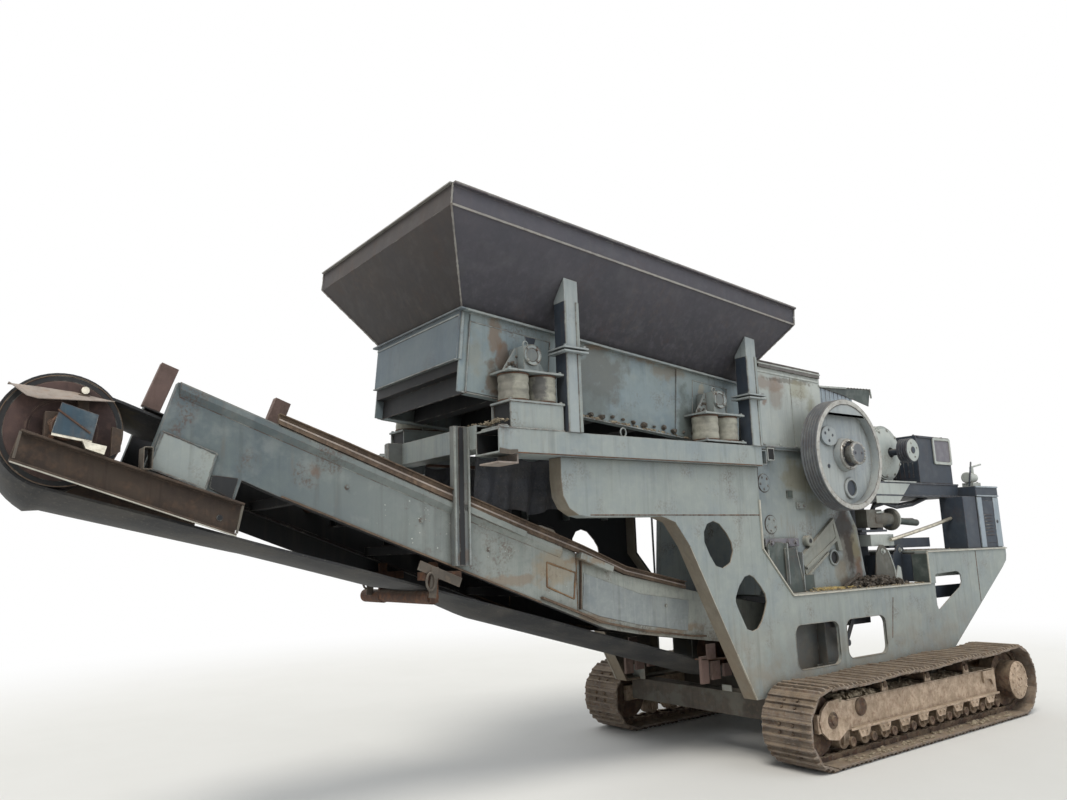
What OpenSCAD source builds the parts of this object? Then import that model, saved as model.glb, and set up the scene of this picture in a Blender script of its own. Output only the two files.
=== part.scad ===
// Tracked mobile jaw crusher.
// Lengths in millimetres. X runs along the machine, the discharge end at -X.
// Y=0 is the middle plane of the machine, -Y the near side, Z=0 the ground.
// Lengths along the machine are measured from the middle of the tracks
// and the whole row is then moved so that its box is centred on the origin.

/* [Tracks] */

// Distance from the machine's middle plane to the outer edge of a track shoe.
track_outer_y = 1250; // [1200:10:1300]

// Width of a track shoe.
shoe_w = 437; // [400:1:450]

// Half the distance between the idler and sprocket centres.
track_half_base = 1460; // [1400:10:1500]

// Outer radius of the chain over the front idler.
idler_chain_r = 300; // [290:5:310]

// Outer radius of the chain over the rear sprocket.
sprocket_chain_r = 322; // [312:5:332]

// Thickness of the shoe plates.
shoe_t = 34; // [28:1:40]

// Height of the link chain inside the shoes.
link_t = 48; // [40:1:56]

// Width of the link chain.
link_w = 150; // [130:5:170]

// Radius of a bottom roller.
roller_r = 72; // [66:1:78]

// Number of bottom rollers on one side.
roller_n = 9; // [7:1:9]

// Radius of a carrier roller.
carrier_r = 46; // [40:1:52]

// Height of the track frame beam.
track_beam_h = 210; // [190:5:230]

/* [Side frames] */

// Outer face of a side frame web, from the middle plane.
side_y = 790; // [780:5:800]

// Depth of the side frame flanges.
side_depth = 130; // [115:5:145]

// Thickness of the side frame web.
web_t = 14; // [10:1:18]

// Thickness of the flange that follows the web edge.
rim_t = 20; // [16:1:26]

// Height of the deck that carries the crusher.
deck_z = 1230; // [1215:5:1245]

// Top of the rear platform.
platform_z = 1530; // [1500:5:1560]

// Rear end of the platform.
rear_x = 2460; // [2400:10:2520]

/* [Upper frame] */

// Outer face of the longitudinal box rails.
rail_y = 850; // [840:5:860]

// Width of a box rail.
rail_w = 270; // [250:5:280]

// Height of a box rail.
rail_h = 160; // [150:5:170]

// Underside of the rails.
rail_z = 2250; // [2240:5:2260]

// Front end of the rails.
rail_front_x = -4070; // [-4100:5:-4040]

// Rear end of the rails.
rail_rear_x = -1530; // [-1550:5:-1520]

// Wall thickness of the box rails.
rail_t = 12; // [8:1:16]

// Side of a hopper post.
post_w = 120; // [112:1:124]

/* [Hopper and feeder] */

// Downward tilt of hopper and feeder toward the crusher.
feed_tilt = 5.4; // [5.2:0.1:5.6]

// Front top corner of the feeder, along the machine.
feeder_x = -4170; // [-4180:5:-4160]

// Front top corner of the feeder, height.
feeder_z = 3210; // [3200:5:3220]

// Length of the feeder along its tilted floor.
feeder_len = 2730; // [2700:10:2740]

// Outer face of the feeder webs.
feeder_y = 600; // [594:1:606]

// Depth of the feeder side webs.
feeder_h = 545; // [535:5:555]

// Thickness of feeder plates.
feeder_t = 12; // [10:1:16]

// Half the width of the hopper mouth.
hopper_half_w = 1000; // [970:10:1030]

// Height of the hopper above the feeder flange.
hopper_h = 640; // [620:10:660]

// Height of the upright band around the hopper mouth.
hopper_band = 140; // [120:5:160]

// Thickness of the hopper plates.
hopper_t = 10; // [8:1:12]

/* [Crusher] */

// Crusher shaft, along the machine.
shaft_x = -436; // [-446:2:-426]

// Crusher shaft, height.
shaft_z = 2385; // [2375:5:2395]

// Radius of the crusher shaft.
shaft_r = 75; // [65:1:80]

// Outer face of the crusher cheeks.
cheek_y = 600; // [590:5:605]

// Thickness of the crusher cheeks.
cheek_t = 50; // [44:1:56]

// Top of the lower crusher frame.
cheek_top_z = 2450; // [2440:5:2460]

// Radius of the flywheels.
wheel_r = 485; // [470:5:495]

// Width of a flywheel rim.
wheel_w = 160; // [150:5:170]

// Outer face of the flywheel rim.
wheel_y = 930; // [925:1:940]

// Thickness of a flywheel rim.
wheel_rim_t = 46; // [40:1:56]

// Thickness of the flywheel web.
wheel_web_t = 45; // [40:1:55]

/* [Drive and platform gear] */

// Motor axis, along the machine.
motor_x = 835; // [820:5:850]

// Motor axis, height.
motor_z = 2495; // [2485:5:2505]

// Radius of the motor housing.
motor_r = 265; // [250:5:270]

// Radius of the motor pulley.
pulley_r = 124; // [116:1:130]

// Width of the rear beam and of the box on it.
gear_y = 600; // [560:10:620]

/* [Conveyor] */

// Outer face of the conveyor stringers.
conv_y = 440; // [430:5:450]

// Thickness of the stringer plates.
conv_t = 10; // [8:1:14]

// Width of the stringer flanges, inward.
conv_flange = 60; // [50:1:64]

// Half the width of the belt.
belt_half_w = 325; // [300:5:335]

// Thickness of the belt.
belt_t = 14; // [12:1:18]

// Head drum centre, along the machine.
head_x = -6410; // [-6420:5:-6400]

// Head drum centre, height.
head_z = 2315; // [2305:5:2325]

// Outer radius of the belt on the head drum.
head_r = 302; // [296:1:306]

// Space between a drum and the belt on it.
drum_gap = 6; // [5:0.5:8]

// Tail drum centre, along the machine.
tail_x = -1000; // [-1030:10:-980]

// Tail drum centre, height.
tail_z = 700; // [690:5:710]

// Outer radius of the belt on the tail drum.
tail_r = 190; // [184:1:196]

/* [Hidden] */

$fn = 48;
x_front_end = head_x - head_r;
x_mid = (x_front_end + rear_x) / 2;
track_in_y = track_outer_y - shoe_w;
track_mid_y = track_outer_y - shoe_w / 2;
idler_x = -track_half_base;
sprocket_x = track_half_base - (sprocket_chain_r - idler_chain_r);
rail_in_y = rail_y - rail_w;
rail_top = rail_z + rail_h;
side_in_y = side_y - side_depth;
fit = 0.05;
clear = 5;

// One of the names above draws that piece alone, all draws the machine.

// Colours of the paint groups.
paint = [0.52, 0.55, 0.53];
dark = [0.24, 0.24, 0.24];
rust = [0.38, 0.29, 0.23];
dust = [0.44, 0.38, 0.31];
rubber = [0.17, 0.17, 0.18];
black = [0.13, 0.14, 0.15];
steel = [0.6, 0.6, 0.58];

module row() translate([-x_mid, 0, 0]) children();
module far_side() mirror([0, 1, 0]) children();

// A polygon of [x, z] points drawn through from y0 to y1.
module prism_y(pts, y0, y1)
  translate([0, y1, 0]) rotate([90, 0, 0]) linear_extrude(height = y1 - y0) polygon(pts);

// A polygon of [y, z] points drawn through from x0 to x1.
module prism_x(pts, x0, x1)
  translate([x0, 0, 0]) rotate([90, 0, 90]) linear_extrude(height = x1 - x0) polygon(pts);

module cyl_y(x, z, r, y0, y1)
  translate([x, y1, z]) rotate([90, 0, 0]) cylinder(r = r, h = y1 - y0);

module box(x0, x1, y0, y1, z0, z1)
  translate([x0, y0, z0]) cube([x1 - x0, y1 - y0, z1 - z0]);

// The crossing of the lines through a,b and c,d.
function cross2(a, b) = a[0] * b[1] - a[1] * b[0];
function meet(a, b, c, d) =
  let (r = b - a, s = d - c, k = cross2(c - a, s) / cross2(r, s)) a + k * r;
function unit(v) = v / norm(v);
function left(v) = [-v[1], v[0]];

// A counter-clockwise outline moved inward by d.
function inset(p, d) = [
  for (i = [0 : len(p) - 1])
    let (
      n = len(p),
      a = p[(i + n - 1) % n],
      b = p[i],
      c = p[(i + 1) % n],
      u = unit(b - a),
      v = unit(c - b)
    )
    meet(a + d * left(u), b + d * left(u), b + d * left(v), c + d * left(v))
];

function arc(cx, cz, r, a0, a1, n) = [
  for (i = [0 : n]) let (a = a0 + (a1 - a0) * i / n) [cx + r * cos(a), cz + r * sin(a)]
];

// Tracks.

function loop_profile(d) = concat(
  arc(idler_x, idler_chain_r, idler_chain_r - d, 90, 270, 20),
  arc(sprocket_x, sprocket_chain_r, sprocket_chain_r - d, -90, 90, 20)
);

module loop_ring(d0, d1, y0, y1)
  difference() {
    prism_y(loop_profile(d0), y0, y1);
    prism_y(loop_profile(d1), y0 - 1, y1 + 1);
  }

module track_chain() {
  loop_ring(0, shoe_t, -track_outer_y, -track_in_y);
  loop_ring(shoe_t, shoe_t + link_t, -track_mid_y - link_w / 2, -track_mid_y + link_w / 2);
}
module track_chain_near() color(dust) row() track_chain();
module track_chain_far() color(dust) row() far_side() track_chain();

track_beam_z = shoe_t + link_t + 2 * roller_r + 12;
track_beam_in = track_mid_y - 125;
track_beam_out = track_mid_y + 125;
beam_front = idler_x + idler_chain_r - 20;
beam_rear = sprocket_x - sprocket_chain_r + 30;

fork_t = 38;
module track_frame() {
  box(beam_front, beam_rear, -track_beam_out, -track_beam_in,
      track_beam_z, track_beam_z + track_beam_h);
  box(beam_front + 60, beam_rear - 60, -track_beam_out - 30, -track_beam_out,
      track_beam_z, track_beam_z + 16);
  for (y = [-track_beam_out, -track_beam_in - fork_t])
    box(idler_x - 70, beam_front, y, y + fork_t, track_beam_z + 20, track_beam_z + 150);
  box(beam_rear, sprocket_x + 60, -track_beam_in - fork_t, -track_beam_in,
      track_beam_z + 20, track_beam_z + 150);
}

wheel_half = 60;
wheel_gap = 3;
half_step = 4.5;
idler_r = (idler_chain_r - shoe_t - link_t) * cos(half_step) - fit;
sprocket_r = (sprocket_chain_r - shoe_t - link_t) * cos(half_step) - fit;
module track_wheels() {
  cyl_y(idler_x, idler_chain_r, idler_r, -track_mid_y - wheel_half, -track_mid_y + wheel_half);
  cyl_y(idler_x, idler_chain_r, 60, -track_beam_out + fork_t, -track_mid_y - wheel_half);
  cyl_y(idler_x, idler_chain_r, 60, -track_mid_y + wheel_half, -track_beam_in - fork_t);
  cyl_y(sprocket_x, sprocket_chain_r, sprocket_r, -track_mid_y - wheel_half,
        -track_mid_y + wheel_half);
  cyl_y(sprocket_x, sprocket_chain_r, 170, -track_beam_out - 60, -track_mid_y - wheel_half);
  cyl_y(sprocket_x, sprocket_chain_r, 150, -track_mid_y + wheel_half, -track_beam_in - fork_t);
}
module track_wheels_near() color(dust) row() track_wheels();
module track_wheels_far() color(dust) row() far_side() track_wheels();

roller_z = shoe_t + link_t + roller_r;
roller_x0 = beam_front + 40;
roller_pitch = (beam_rear - 40 - roller_x0) / (roller_n - 1);
carrier_n = 3;
module track_rollers() {
  for (i = [0 : roller_n - 1]) {
    cyl_y(roller_x0 + i * roller_pitch, roller_z, roller_r - 8,
          -track_mid_y - wheel_half, -track_mid_y + wheel_half);
    for (s = [0, 1])
      box(roller_x0 + i * roller_pitch - 40, roller_x0 + i * roller_pitch + 40,
          -track_mid_y + (s == 0 ? -wheel_half - 30 : wheel_half),
          -track_mid_y + (s == 0 ? -wheel_half : wheel_half + 30),
          roller_z - 30, track_beam_z);
  }
}
module track_frame_near() color(dust) row() {
  track_frame();
  track_rollers();
}
module track_frame_far() color(dust) row() far_side() {
  track_frame();
  track_rollers();
}

beam_a = [-1560, -1400];
beam_b = [-760, -560];
beam_c = [520, 720];
cross_z0 = 262;
cross_z1 = 480;
module track_cross_beams() color(paint) row() {
  box(beam_a[0], beam_a[1], -side_y, side_y, 300, cross_z1);
  for (b = [beam_b, beam_c])
    box(b[0], b[1], -track_beam_in, track_beam_in, cross_z0, cross_z1);
}

// Side frames.

frame_outline = [
  [-3540, rail_z], [-3540, 2100], [-3528, 1990], [-3480, 1910], [-3400, 1865], [-3320, 1850],
  [-2630, 1855], [-2500, 1815], [-2360, 1640], [-1740, cross_z1], [1000, cross_z1],
  [rear_x - 110, 1325], [rear_x - 20, 1392], [rear_x, 1450], [rear_x, platform_z], [880, platform_z],
  [880, deck_z], [-1200, deck_z], [-1530, 1600], [-1530, rail_z]
];
upper_hole = [
  [-2200, 1740], [-2160, 1800], [-2095, 1820], [-2025, 1798], [-1950, 1725], [-1905, 1660],
  [-1893, 1590], [-1930, 1506], [-2020, 1468], [-2094, 1488], [-2150, 1565], [-2202, 1665]
];
lower_hole = [
  [-1894, 1252], [-1848, 1328], [-1780, 1393], [-1722, 1405], [-1668, 1382], [-1600, 1315],
  [-1552, 1255], [-1540, 1192], [-1575, 1115], [-1614, 1052], [-1668, 1000], [-1730, 985],
  [-1792, 1004], [-1840, 1090], [-1882, 1170], [-1900, 1212]
];
module slot_hole(x0, x1, z0, z1, r) {
  hull_pts = concat(
    arc(x0 + r, z0 + r, r, 180, 270, 5), arc(x1 - r, z0 + r, r, 270, 360, 5),
    arc(x1 - r, z1 - r, r, 0, 90, 5), arc(x0 + r, z1 - r, r, 90, 180, 5));
  prism_y(hull_pts, -side_y - 1, -side_in_y + 1);
}
rear_hole = [
  [965, 1015], [985, 975], [1020, 980], [1225, 1075], [1430, 1165], [1468, 1215], [1462, 1275],
  [1430, 1305], [1380, 1316], [1000, 1302], [966, 1265], [962, 1140]
];
module side_frame() difference() {
  prism_y(frame_outline, -side_y, -side_in_y);
  prism_y(inset(frame_outline, rim_t), -side_y + web_t, -side_in_y + 1);
  prism_y(upper_hole, -side_y - 1, -side_in_y + 1);
  prism_y(lower_hole, -side_y - 1, -side_in_y + 1);
  slot_hole(-1216, -632, 640, 985, 72);
  slot_hole(-524, 66, 665, 985, 72);
  prism_y(rear_hole, -side_y - 1, -side_in_y + 1);
}
module side_frame_near() color(paint) row() side_frame();
module side_frame_far() color(paint) row() far_side() side_frame();

deck_t = 24;
module crusher_deck() color(paint) row() difference() {
  box(-1190, 870, -side_in_y, side_in_y, deck_z - deck_t, deck_z);
  box(-1130, -300, -330, 330, deck_z - 200, deck_z + 1);
}

module rear_platform() color(paint) row() {
  box(900, rear_x - 20, -side_in_y, side_in_y, platform_z - 20, platform_z);
  for (x = [960, 1650, rear_x - 140])
    box(x, x + 100, -side_in_y, side_in_y, platform_z - 140, platform_z - 20);
}

// Upper frame.

module rail() {
  difference() {
    box(rail_front_x, rail_rear_x, -rail_y, -rail_in_y, rail_z, rail_top);
    box(rail_front_x - 1, rail_rear_x + 1, -rail_y + rail_t, -rail_in_y - rail_t,
        rail_z + rail_t, rail_top - rail_t);
  }
  box(rail_front_x + 5, rail_front_x + 75, -rail_y - 10, -rail_in_y - 60, rail_top, rail_top + 12);
  box(rail_front_x + 5, rail_front_x + 160, -rail_y + 20, -rail_in_y - 30, rail_z - 62, rail_z - 50);
  box(rail_front_x + 148, rail_front_x + 160, -rail_y + 20, -rail_in_y - 30, rail_z - 50, rail_z);
}
module rail_near() color(paint) row() rail();
module rail_far() color(paint) row() far_side() rail();

beam_lift = 50;
module upper_cross_beams() color(paint) row() {
  difference() {
    box(rail_front_x, rail_front_x + 160, -rail_in_y, rail_in_y, rail_z + beam_lift,
        rail_top + beam_lift);
    box(rail_front_x + rail_t, rail_front_x + 160 - rail_t, -rail_in_y - 1, rail_in_y + 1,
        rail_z + beam_lift + rail_t, rail_top + beam_lift - rail_t);
  }
  difference() {
    box(rail_rear_x, rail_rear_x + 120, -rail_y + 50, rail_y - 50, rail_z + 20, rail_z + 140);
    box(rail_rear_x + 8, rail_rear_x + 112, -rail_y - 50, rail_y + 50, rail_z + 28, rail_z + 132);
  }
}

// Hopper and feeder stand in one tilted frame, x along the feeder, z up from its flange.

module tilted() translate([feeder_x, 0, feeder_z]) rotate([0, feed_tilt, 0]) children();

hop_x0 = -360;
hop_x1 = 2960;
hop_b0 = 0;
hop_b1 = feeder_len - 60;
hop_z0 = feeder_t;
hop_z1 = hopper_h - hopper_band;

function long_profile(d) = [
  [hop_x0 + d, hop_z1], [hop_b0 + d, hop_z0], [hop_b1 - d, hop_z0], [hop_x1 - d, hop_z1]
];
function wide_profile(d) = [
  [-hopper_half_w + d, hop_z1], [-feeder_y + d, hop_z0],
  [feeder_y - d, hop_z0], [hopper_half_w - d, hop_z1]
];
big = 5000;

module hopper_outer() intersection() {
  prism_y(long_profile(0), -big, big);
  prism_x(wide_profile(0), -big, big);
}
module side_slab() {
  intersection() {
    prism_y(long_profile(0), -big, big);
    prism_x([[-hopper_half_w, hop_z1], [-feeder_y, hop_z0],
             [-feeder_y + hopper_t, hop_z0], [-hopper_half_w + hopper_t, hop_z1]], -big, big);
  }
  box(hop_x0, hop_x1, -hopper_half_w, -hopper_half_w + hopper_t, hop_z1, hopper_h);
  box(hop_x0, hop_x1, -hopper_half_w - 30, -hopper_half_w, hopper_h - 10, hopper_h);
}
module hopper_side_near() color(dark) row() tilted() side_slab();
module hopper_side_far() color(dark) row() tilted() far_side() side_slab();

module inner_wedge() prism_x([
  [-hopper_half_w + hopper_t, hop_z1], [-feeder_y + hopper_t, hop_z0],
  [feeder_y - hopper_t, hop_z0], [hopper_half_w - hopper_t, hop_z1]], -big, big);
module hopper_front() color(dark) row() tilted() {
  intersection() {
    inner_wedge();
    prism_y([[hop_x0, hop_z1], [hop_b0, hop_z0],
             [hop_b0 + hopper_t, hop_z0], [hop_x0 + hopper_t, hop_z1]], -big, big);
  }
  box(hop_x0, hop_x0 + hopper_t, -hopper_half_w + hopper_t, hopper_half_w - hopper_t,
      hop_z1, hopper_h);
}
module hopper_rear() color(dark) row() tilted() {
  intersection() {
    inner_wedge();
    prism_y([[hop_b1 - hopper_t, hop_z0], [hop_b1, hop_z0],
             [hop_x1, hop_z1], [hop_x1 - hopper_t, hop_z1]], -big, big);
  }
  box(hop_x1 - hopper_t, hop_x1, -hopper_half_w + hopper_t, hopper_half_w - hopper_t,
      hop_z1, hopper_h);
}

post_front_x = -3515;
post_rear_x = -1650;
post_y = rail_y + 15;
module hopper_post(x) difference() {
  union() {
    box(x, x + post_w, -post_y, -post_y + post_w, rail_top, 3700);
    prism_x([[-post_y, 3180], [-post_y, 3700], [-post_y - 62, 3700], [-post_y - 62, 3330]],
            x, x + post_w);
    for (z = [2870, 2905])
      box(x - 32, x + post_w + 32, -post_y - 32, -post_y + post_w + 20, z, z + 16);
  }
  tilted() hopper_outer();
  tilted() box(-big, big, -big, big, hop_z1, big);
}
module hopper_posts() color(paint) row() {
  for (x = [post_front_x, post_rear_x]) {
    hopper_post(x);
    far_side() hopper_post(x);
  }
}

feeder_flange = 55;
nose_x = 72;
nose_z = -330;
module feeder_side() {
  box(0, feeder_len, -feeder_y, -feeder_y + feeder_t, -feeder_h, 0);
  box(0, feeder_len, -feeder_y - feeder_flange, -feeder_y + feeder_t, 0, feeder_t);
  box(nose_x, feeder_len, -feeder_y + feeder_t, -feeder_y + feeder_t + feeder_flange,
      -feeder_h, -feeder_h + feeder_t);
  for (x = [[60, 720], [1980, 2520]])
    box(x[0], x[1], -feeder_y - feeder_t, -feeder_y, -feeder_h + 10, 0);
}
module feeder_side_near() color(paint) row() tilted() feeder_side();
module feeder_side_far() color(paint) row() tilted() far_side() feeder_side();
feeder_in = feeder_y - feeder_t;
floor_z = -410;
module feeder_trough() color(paint) row() tilted() {
  box(feeder_t, feeder_len, -feeder_in, feeder_in, floor_z, floor_z + 16);
  for (i = [0 : 5])
    box(300 + i * 420, 380 + i * 420, -feeder_in + feeder_flange, feeder_in - feeder_flange,
        -feeder_h, floor_z);
  box(0, feeder_t, -feeder_in, feeder_in, floor_z, 0);
  box(-40, 0, -feeder_y - feeder_flange, feeder_y + feeder_flange, 0, feeder_t);
  box(-20, 0, -feeder_y, feeder_y, nose_z, 0);
  box(nose_x - feeder_t, nose_x, -feeder_in, feeder_in, -feeder_h, floor_z);
}

// Spring stations on the rails.

spring_r = 108;
spring_y = 724;
spring_off = 112;
station = 225;
module spring_station(x, z0, z1, ped) {
  if (ped > 0) difference() {
    box(x - station, x + station, -spring_y - 118, -spring_y + 108, rail_top, z0 - 14);
    box(x - station - 1, x + station + 1, -spring_y - 104, -spring_y + 94, rail_top + 14, z0 - 28);
  }
  box(x - station, x + station, -spring_y - 118, -spring_y + 108, z0 - 14, z0);
  for (s = [-1, 1])
    translate([x + s * spring_off, -spring_y, z0]) cylinder(r = spring_r, h = z1 - z0);
  box(x - station, x + station, -spring_y - 118, -feeder_y - feeder_t, z1, z1 + 16);
  box(x - 60, x + 60, -spring_y - 60, -feeder_y - feeder_t, z1 + 16, z1 + 190);
  cyl_y(x, z1 + 130, 70, -spring_y - 78, -spring_y - 60);
  for (s = [-1, 1])
    prism_x([[-spring_y - 100, z1 + 16], [-feeder_y - feeder_t, z1 + 16],
             [-feeder_y - feeder_t, z1 + 150], [-spring_y - 40, z1 + 120]],
            x + s * 150 - 8, x + s * 150 + 8);
}
module springs_front() spring_station(-3750, 2600, 2790, 1);
module springs_rear() spring_station(-1925, rail_top + 28, 2640, 0);
module springs_near() color(paint) row() {
  springs_front();
  springs_rear();
}
module springs_far() color(paint) row() far_side() {
  springs_front();
  springs_rear();
}

// Crusher.

cheek_in = cheek_y - cheek_t;
cheek_outline = [
  [-1380, deck_z], [150, deck_z], [60, 1760], [-60, 1960], [-60, 2240], [-200, cheek_top_z],
  [-1270, cheek_top_z]
];
rib_t = 30;
module crusher_cheek() {
  difference() {
    prism_y(cheek_outline, -cheek_y, -cheek_in);
    cyl_y(shaft_x, shaft_z, 150, -cheek_y - 1, -cheek_in + 1);
    cyl_y(-340, 1502, 55, -cheek_y - 1, -cheek_in + 1);
  }
  prism_y([[-775, 1438], [-761, 1412], [-293, 1652], [-307, 1678]], -cheek_y - rib_t, -cheek_y);
  prism_y([[-860, 1506], [-840, 1478], [-318, 1814], [-334, 1844]], -cheek_y - rib_t, -cheek_y);
  for (x = [[-1270, shaft_x - 200], [shaft_x + 200, -200]])
    box(x[0], x[1], -cheek_y - 36, -cheek_y, cheek_top_z - 22, cheek_top_z);
  cyl_y(-722, 1652, 46, -cheek_y - 40, -cheek_y);
  prism_y([[-1090, deck_z], [-866, deck_z], [-936, 1596], [-1090, 1596]], -cheek_y - 55, -cheek_y - 15);
  box(-1090, -936, -cheek_y - 15, -cheek_y, deck_z, 1400);
  box(-860, -722, -cheek_y - 55, -cheek_y, deck_z, 1370);
}
module crusher_cheek_near() color(paint) row() crusher_cheek();
module crusher_cheek_far() color(paint) row() far_side() crusher_cheek();

module crusher_end_walls() color(paint) row() {
  prism_y([[-1380, deck_z], [-1270, cheek_top_z], [-1200, cheek_top_z], [-1210, 2250],
           [-1270, deck_z]], -cheek_in, cheek_in);
  prism_y([rear_face_a, [150, deck_z], [60, 1760], rear_face_b], -cheek_in, cheek_in);
}
module fixed_jaw() color(dust) row()
  prism_y([[-1270, deck_z], [-1210, 2250], [-1140, 2250], [-1160, deck_z]], -jaw_half, jaw_half);
jaw_half = 375;
jaw_back_a = [-640, 1560];
jaw_back_b = [shaft_x + 120, shaft_z - 60];
rear_face_a = [40, deck_z];
rear_face_b = [-50, 1760];
function at_height(a, b, z) = [a[0] + (b[0] - a[0]) * (z - a[1]) / (b[1] - a[1]), z];
module swing_jaw() color(dust) row() difference() {
  union() {
    cyl_y(shaft_x, shaft_z, 210, -jaw_half, jaw_half);
    prism_y([[shaft_x - 200, shaft_z + 60], [-940, 1330], [-800, 1300], jaw_back_a, jaw_back_b],
            -jaw_half, jaw_half);
  }
  cyl_y(shaft_x, shaft_z, shaft_r + clear, -jaw_half - 1, jaw_half + 1);
}
guard_y = 590;
rod_y = 495;
rod_z = 1825;
module toggle_gear() color(rust) row() {
  prism_y([at_height(jaw_back_a, jaw_back_b, 1580), at_height(rear_face_a, rear_face_b, 1640),
           at_height(rear_face_a, rear_face_b, 1680), at_height(jaw_back_a, jaw_back_b, 1620)],
          -280, 280);
  prism_y([[150, deck_z], [550, deck_z], [500, 1500], [360, 1720], [67, 1720]], -430, 430);
  for (s = [0, 1]) mirror([0, s, 0]) {
    prism_y([[310, deck_z], [680, deck_z], [640, 1420], [560, 1540], [460, 1590]],
            -guard_y, -guard_y + 15);
    box(420, 440, -guard_y + 15, -430, deck_z, 1500);
    box(200, 620, -560, -380, 1720, 1740);
    box(500, 600, -rod_y - 40, -rod_y + 40, 1740, rod_z - 25);
    translate([450, -rod_y, rod_z]) rotate([0, 90, 0]) cylinder(r = 55, h = 400);
    translate([850, -rod_y, rod_z]) rotate([0, 90, 0]) cylinder(r = 26, h = 350);
    difference() {
      box(700, 868, -520, -500, deck_z, 1500);
      prism_y([[725, 1300], [805, 1450], [725, 1450]], -521, -499);
    }
  }
}

bearing_r = 148;
module crusher_bearings() color(paint) row() for (s = [0, 1]) mirror([0, s, 0]) difference() {
  union() {
    cyl_y(shaft_x, shaft_z, bearing_r, -cheek_y - 30, -jaw_half - 20);
    box(shaft_x - 200, shaft_x + 200, -cheek_y - 30, -cheek_y, shaft_z - 200, shaft_z + 200);
  }
  cyl_y(shaft_x, shaft_z, shaft_r + fit, -cheek_y - 31, -jaw_half);
}

shaft_end_y = wheel_y + 80;
module crusher_shaft() color(steel) row() {
  cyl_y(shaft_x, shaft_z, shaft_r, -shaft_end_y, shaft_end_y);
  for (s = [0, 1]) mirror([0, s, 0])
    cyl_y(shaft_x, shaft_z, shaft_r + 25, -shaft_end_y, -shaft_end_y + 25);
}

wheel_in_y = wheel_y - wheel_w;
module flywheel() difference() {
  union() {
    difference() {
      cyl_y(shaft_x, shaft_z, wheel_r, -wheel_y, -wheel_in_y);
      cyl_y(shaft_x, shaft_z, wheel_r - wheel_rim_t, -wheel_y - 1, -wheel_in_y + 1);
    }
    cyl_y(shaft_x, shaft_z, wheel_r - wheel_rim_t, -wheel_y + 70, -wheel_y + 70 + wheel_web_t);
    cyl_y(shaft_x, shaft_z, 140, -wheel_y, -wheel_in_y);
  }
  cyl_y(shaft_x, shaft_z, shaft_r, -1200, -500);
  cyl_y(shaft_x + 60, shaft_z - 290, 75, -wheel_y - 1, -wheel_in_y + 1);
}
module flywheel_near() color(paint) row() flywheel();
module flywheel_far() color(paint) row() far_side() flywheel();

inlet_top = 3196;
inlet_rear = 3166;
inlet_x = -330;
module crusher_inlet_box() color(paint) row() difference() {
  union() {
    for (s = [0, 1]) mirror([0, s, 0])
      prism_y([[-1260, cheek_top_z], [inlet_x, cheek_top_z], [inlet_x, inlet_rear],
               [-1190, inlet_top]], -cheek_y, -cheek_y + 16);
    box(inlet_x, inlet_x + 16, -cheek_y, cheek_y, cheek_top_z, inlet_rear);
  }
  cyl_y(shaft_x, shaft_z, bearing_r + 2, -cheek_y - 1, cheek_y + 1);
  cyl_y(shaft_x, shaft_z, 225, -cheek_in, cheek_in);
}
hood_t = 14;
shed_z = 3090;
shed_x = 540;
shed_drop = 150;
curtain_x = 150;
function shed_under(x) = [x, shed_z - hood_t - shed_drop * (x - inlet_x - 16) / (shed_x - inlet_x - 16)];
module crusher_hood() color(dark) row() {
  prism_y([[-1190, inlet_top], [inlet_x, inlet_rear], [inlet_x, inlet_rear + hood_t],
           [-1190, inlet_top + hood_t]], -cheek_y - 20, cheek_y + 20);
  prism_y([[inlet_x + 16, shed_z - hood_t], [shed_x, shed_z - shed_drop - hood_t],
           [shed_x, shed_z - shed_drop], [inlet_x + 16, shed_z]], -cheek_y, cheek_y);
  for (s = [0, 1]) mirror([0, s, 0])
    prism_y([[inlet_x + 16, 2840], [curtain_x, 2840],
             shed_under(curtain_x),
             [inlet_x + 16, shed_z - hood_t]], -cheek_y, -cheek_y + 10);
}
// Drive motor and the gear on the rear platform.

beam_top = 2200;
beam_bot = 2060;
gear_rear = 1990;
pulley_in = 640;
pulley_out = 800;
motor_y = 500;
module drive_motor() color(paint) row() {
  difference() {
    cyl_y(motor_x, motor_z, motor_r, -motor_y, 180);
    cyl_y(motor_x, motor_z, 30 + fit, -motor_y - 1, -400);
  }
  for (x = [motor_x - 190, motor_x + 90])
    box(x, x + 100, -440, 100, beam_top, motor_z - motor_r + 80);
}
module motor_pulley() color(steel) row() {
  cyl_y(motor_x, motor_z, pulley_r, -pulley_out, -pulley_in);
  cyl_y(motor_x, motor_z, 30, -pulley_in, -405);
}
module motor_beam() color(black) row() {
  box(-60, gear_rear, -gear_y, gear_y, beam_bot, beam_top);
  for (s = [0, 1]) mirror([0, s, 0])
    box(1720, gear_rear - 10, -gear_y - 170, -gear_y + 80, platform_z, beam_bot);
}
module cooler_box() color(black) row() {
  box(1250, 1900, -gear_y, gear_y, beam_top, 2690);
}
module rear_cabinet() color(black) row() {
  box(gear_rear + 10, rear_x - 10, -770, -380, platform_z, beam_bot);
  box(gear_rear, rear_x - 2, -780, -370, beam_bot, beam_bot + 110);
}

// Discharge conveyor.

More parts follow.
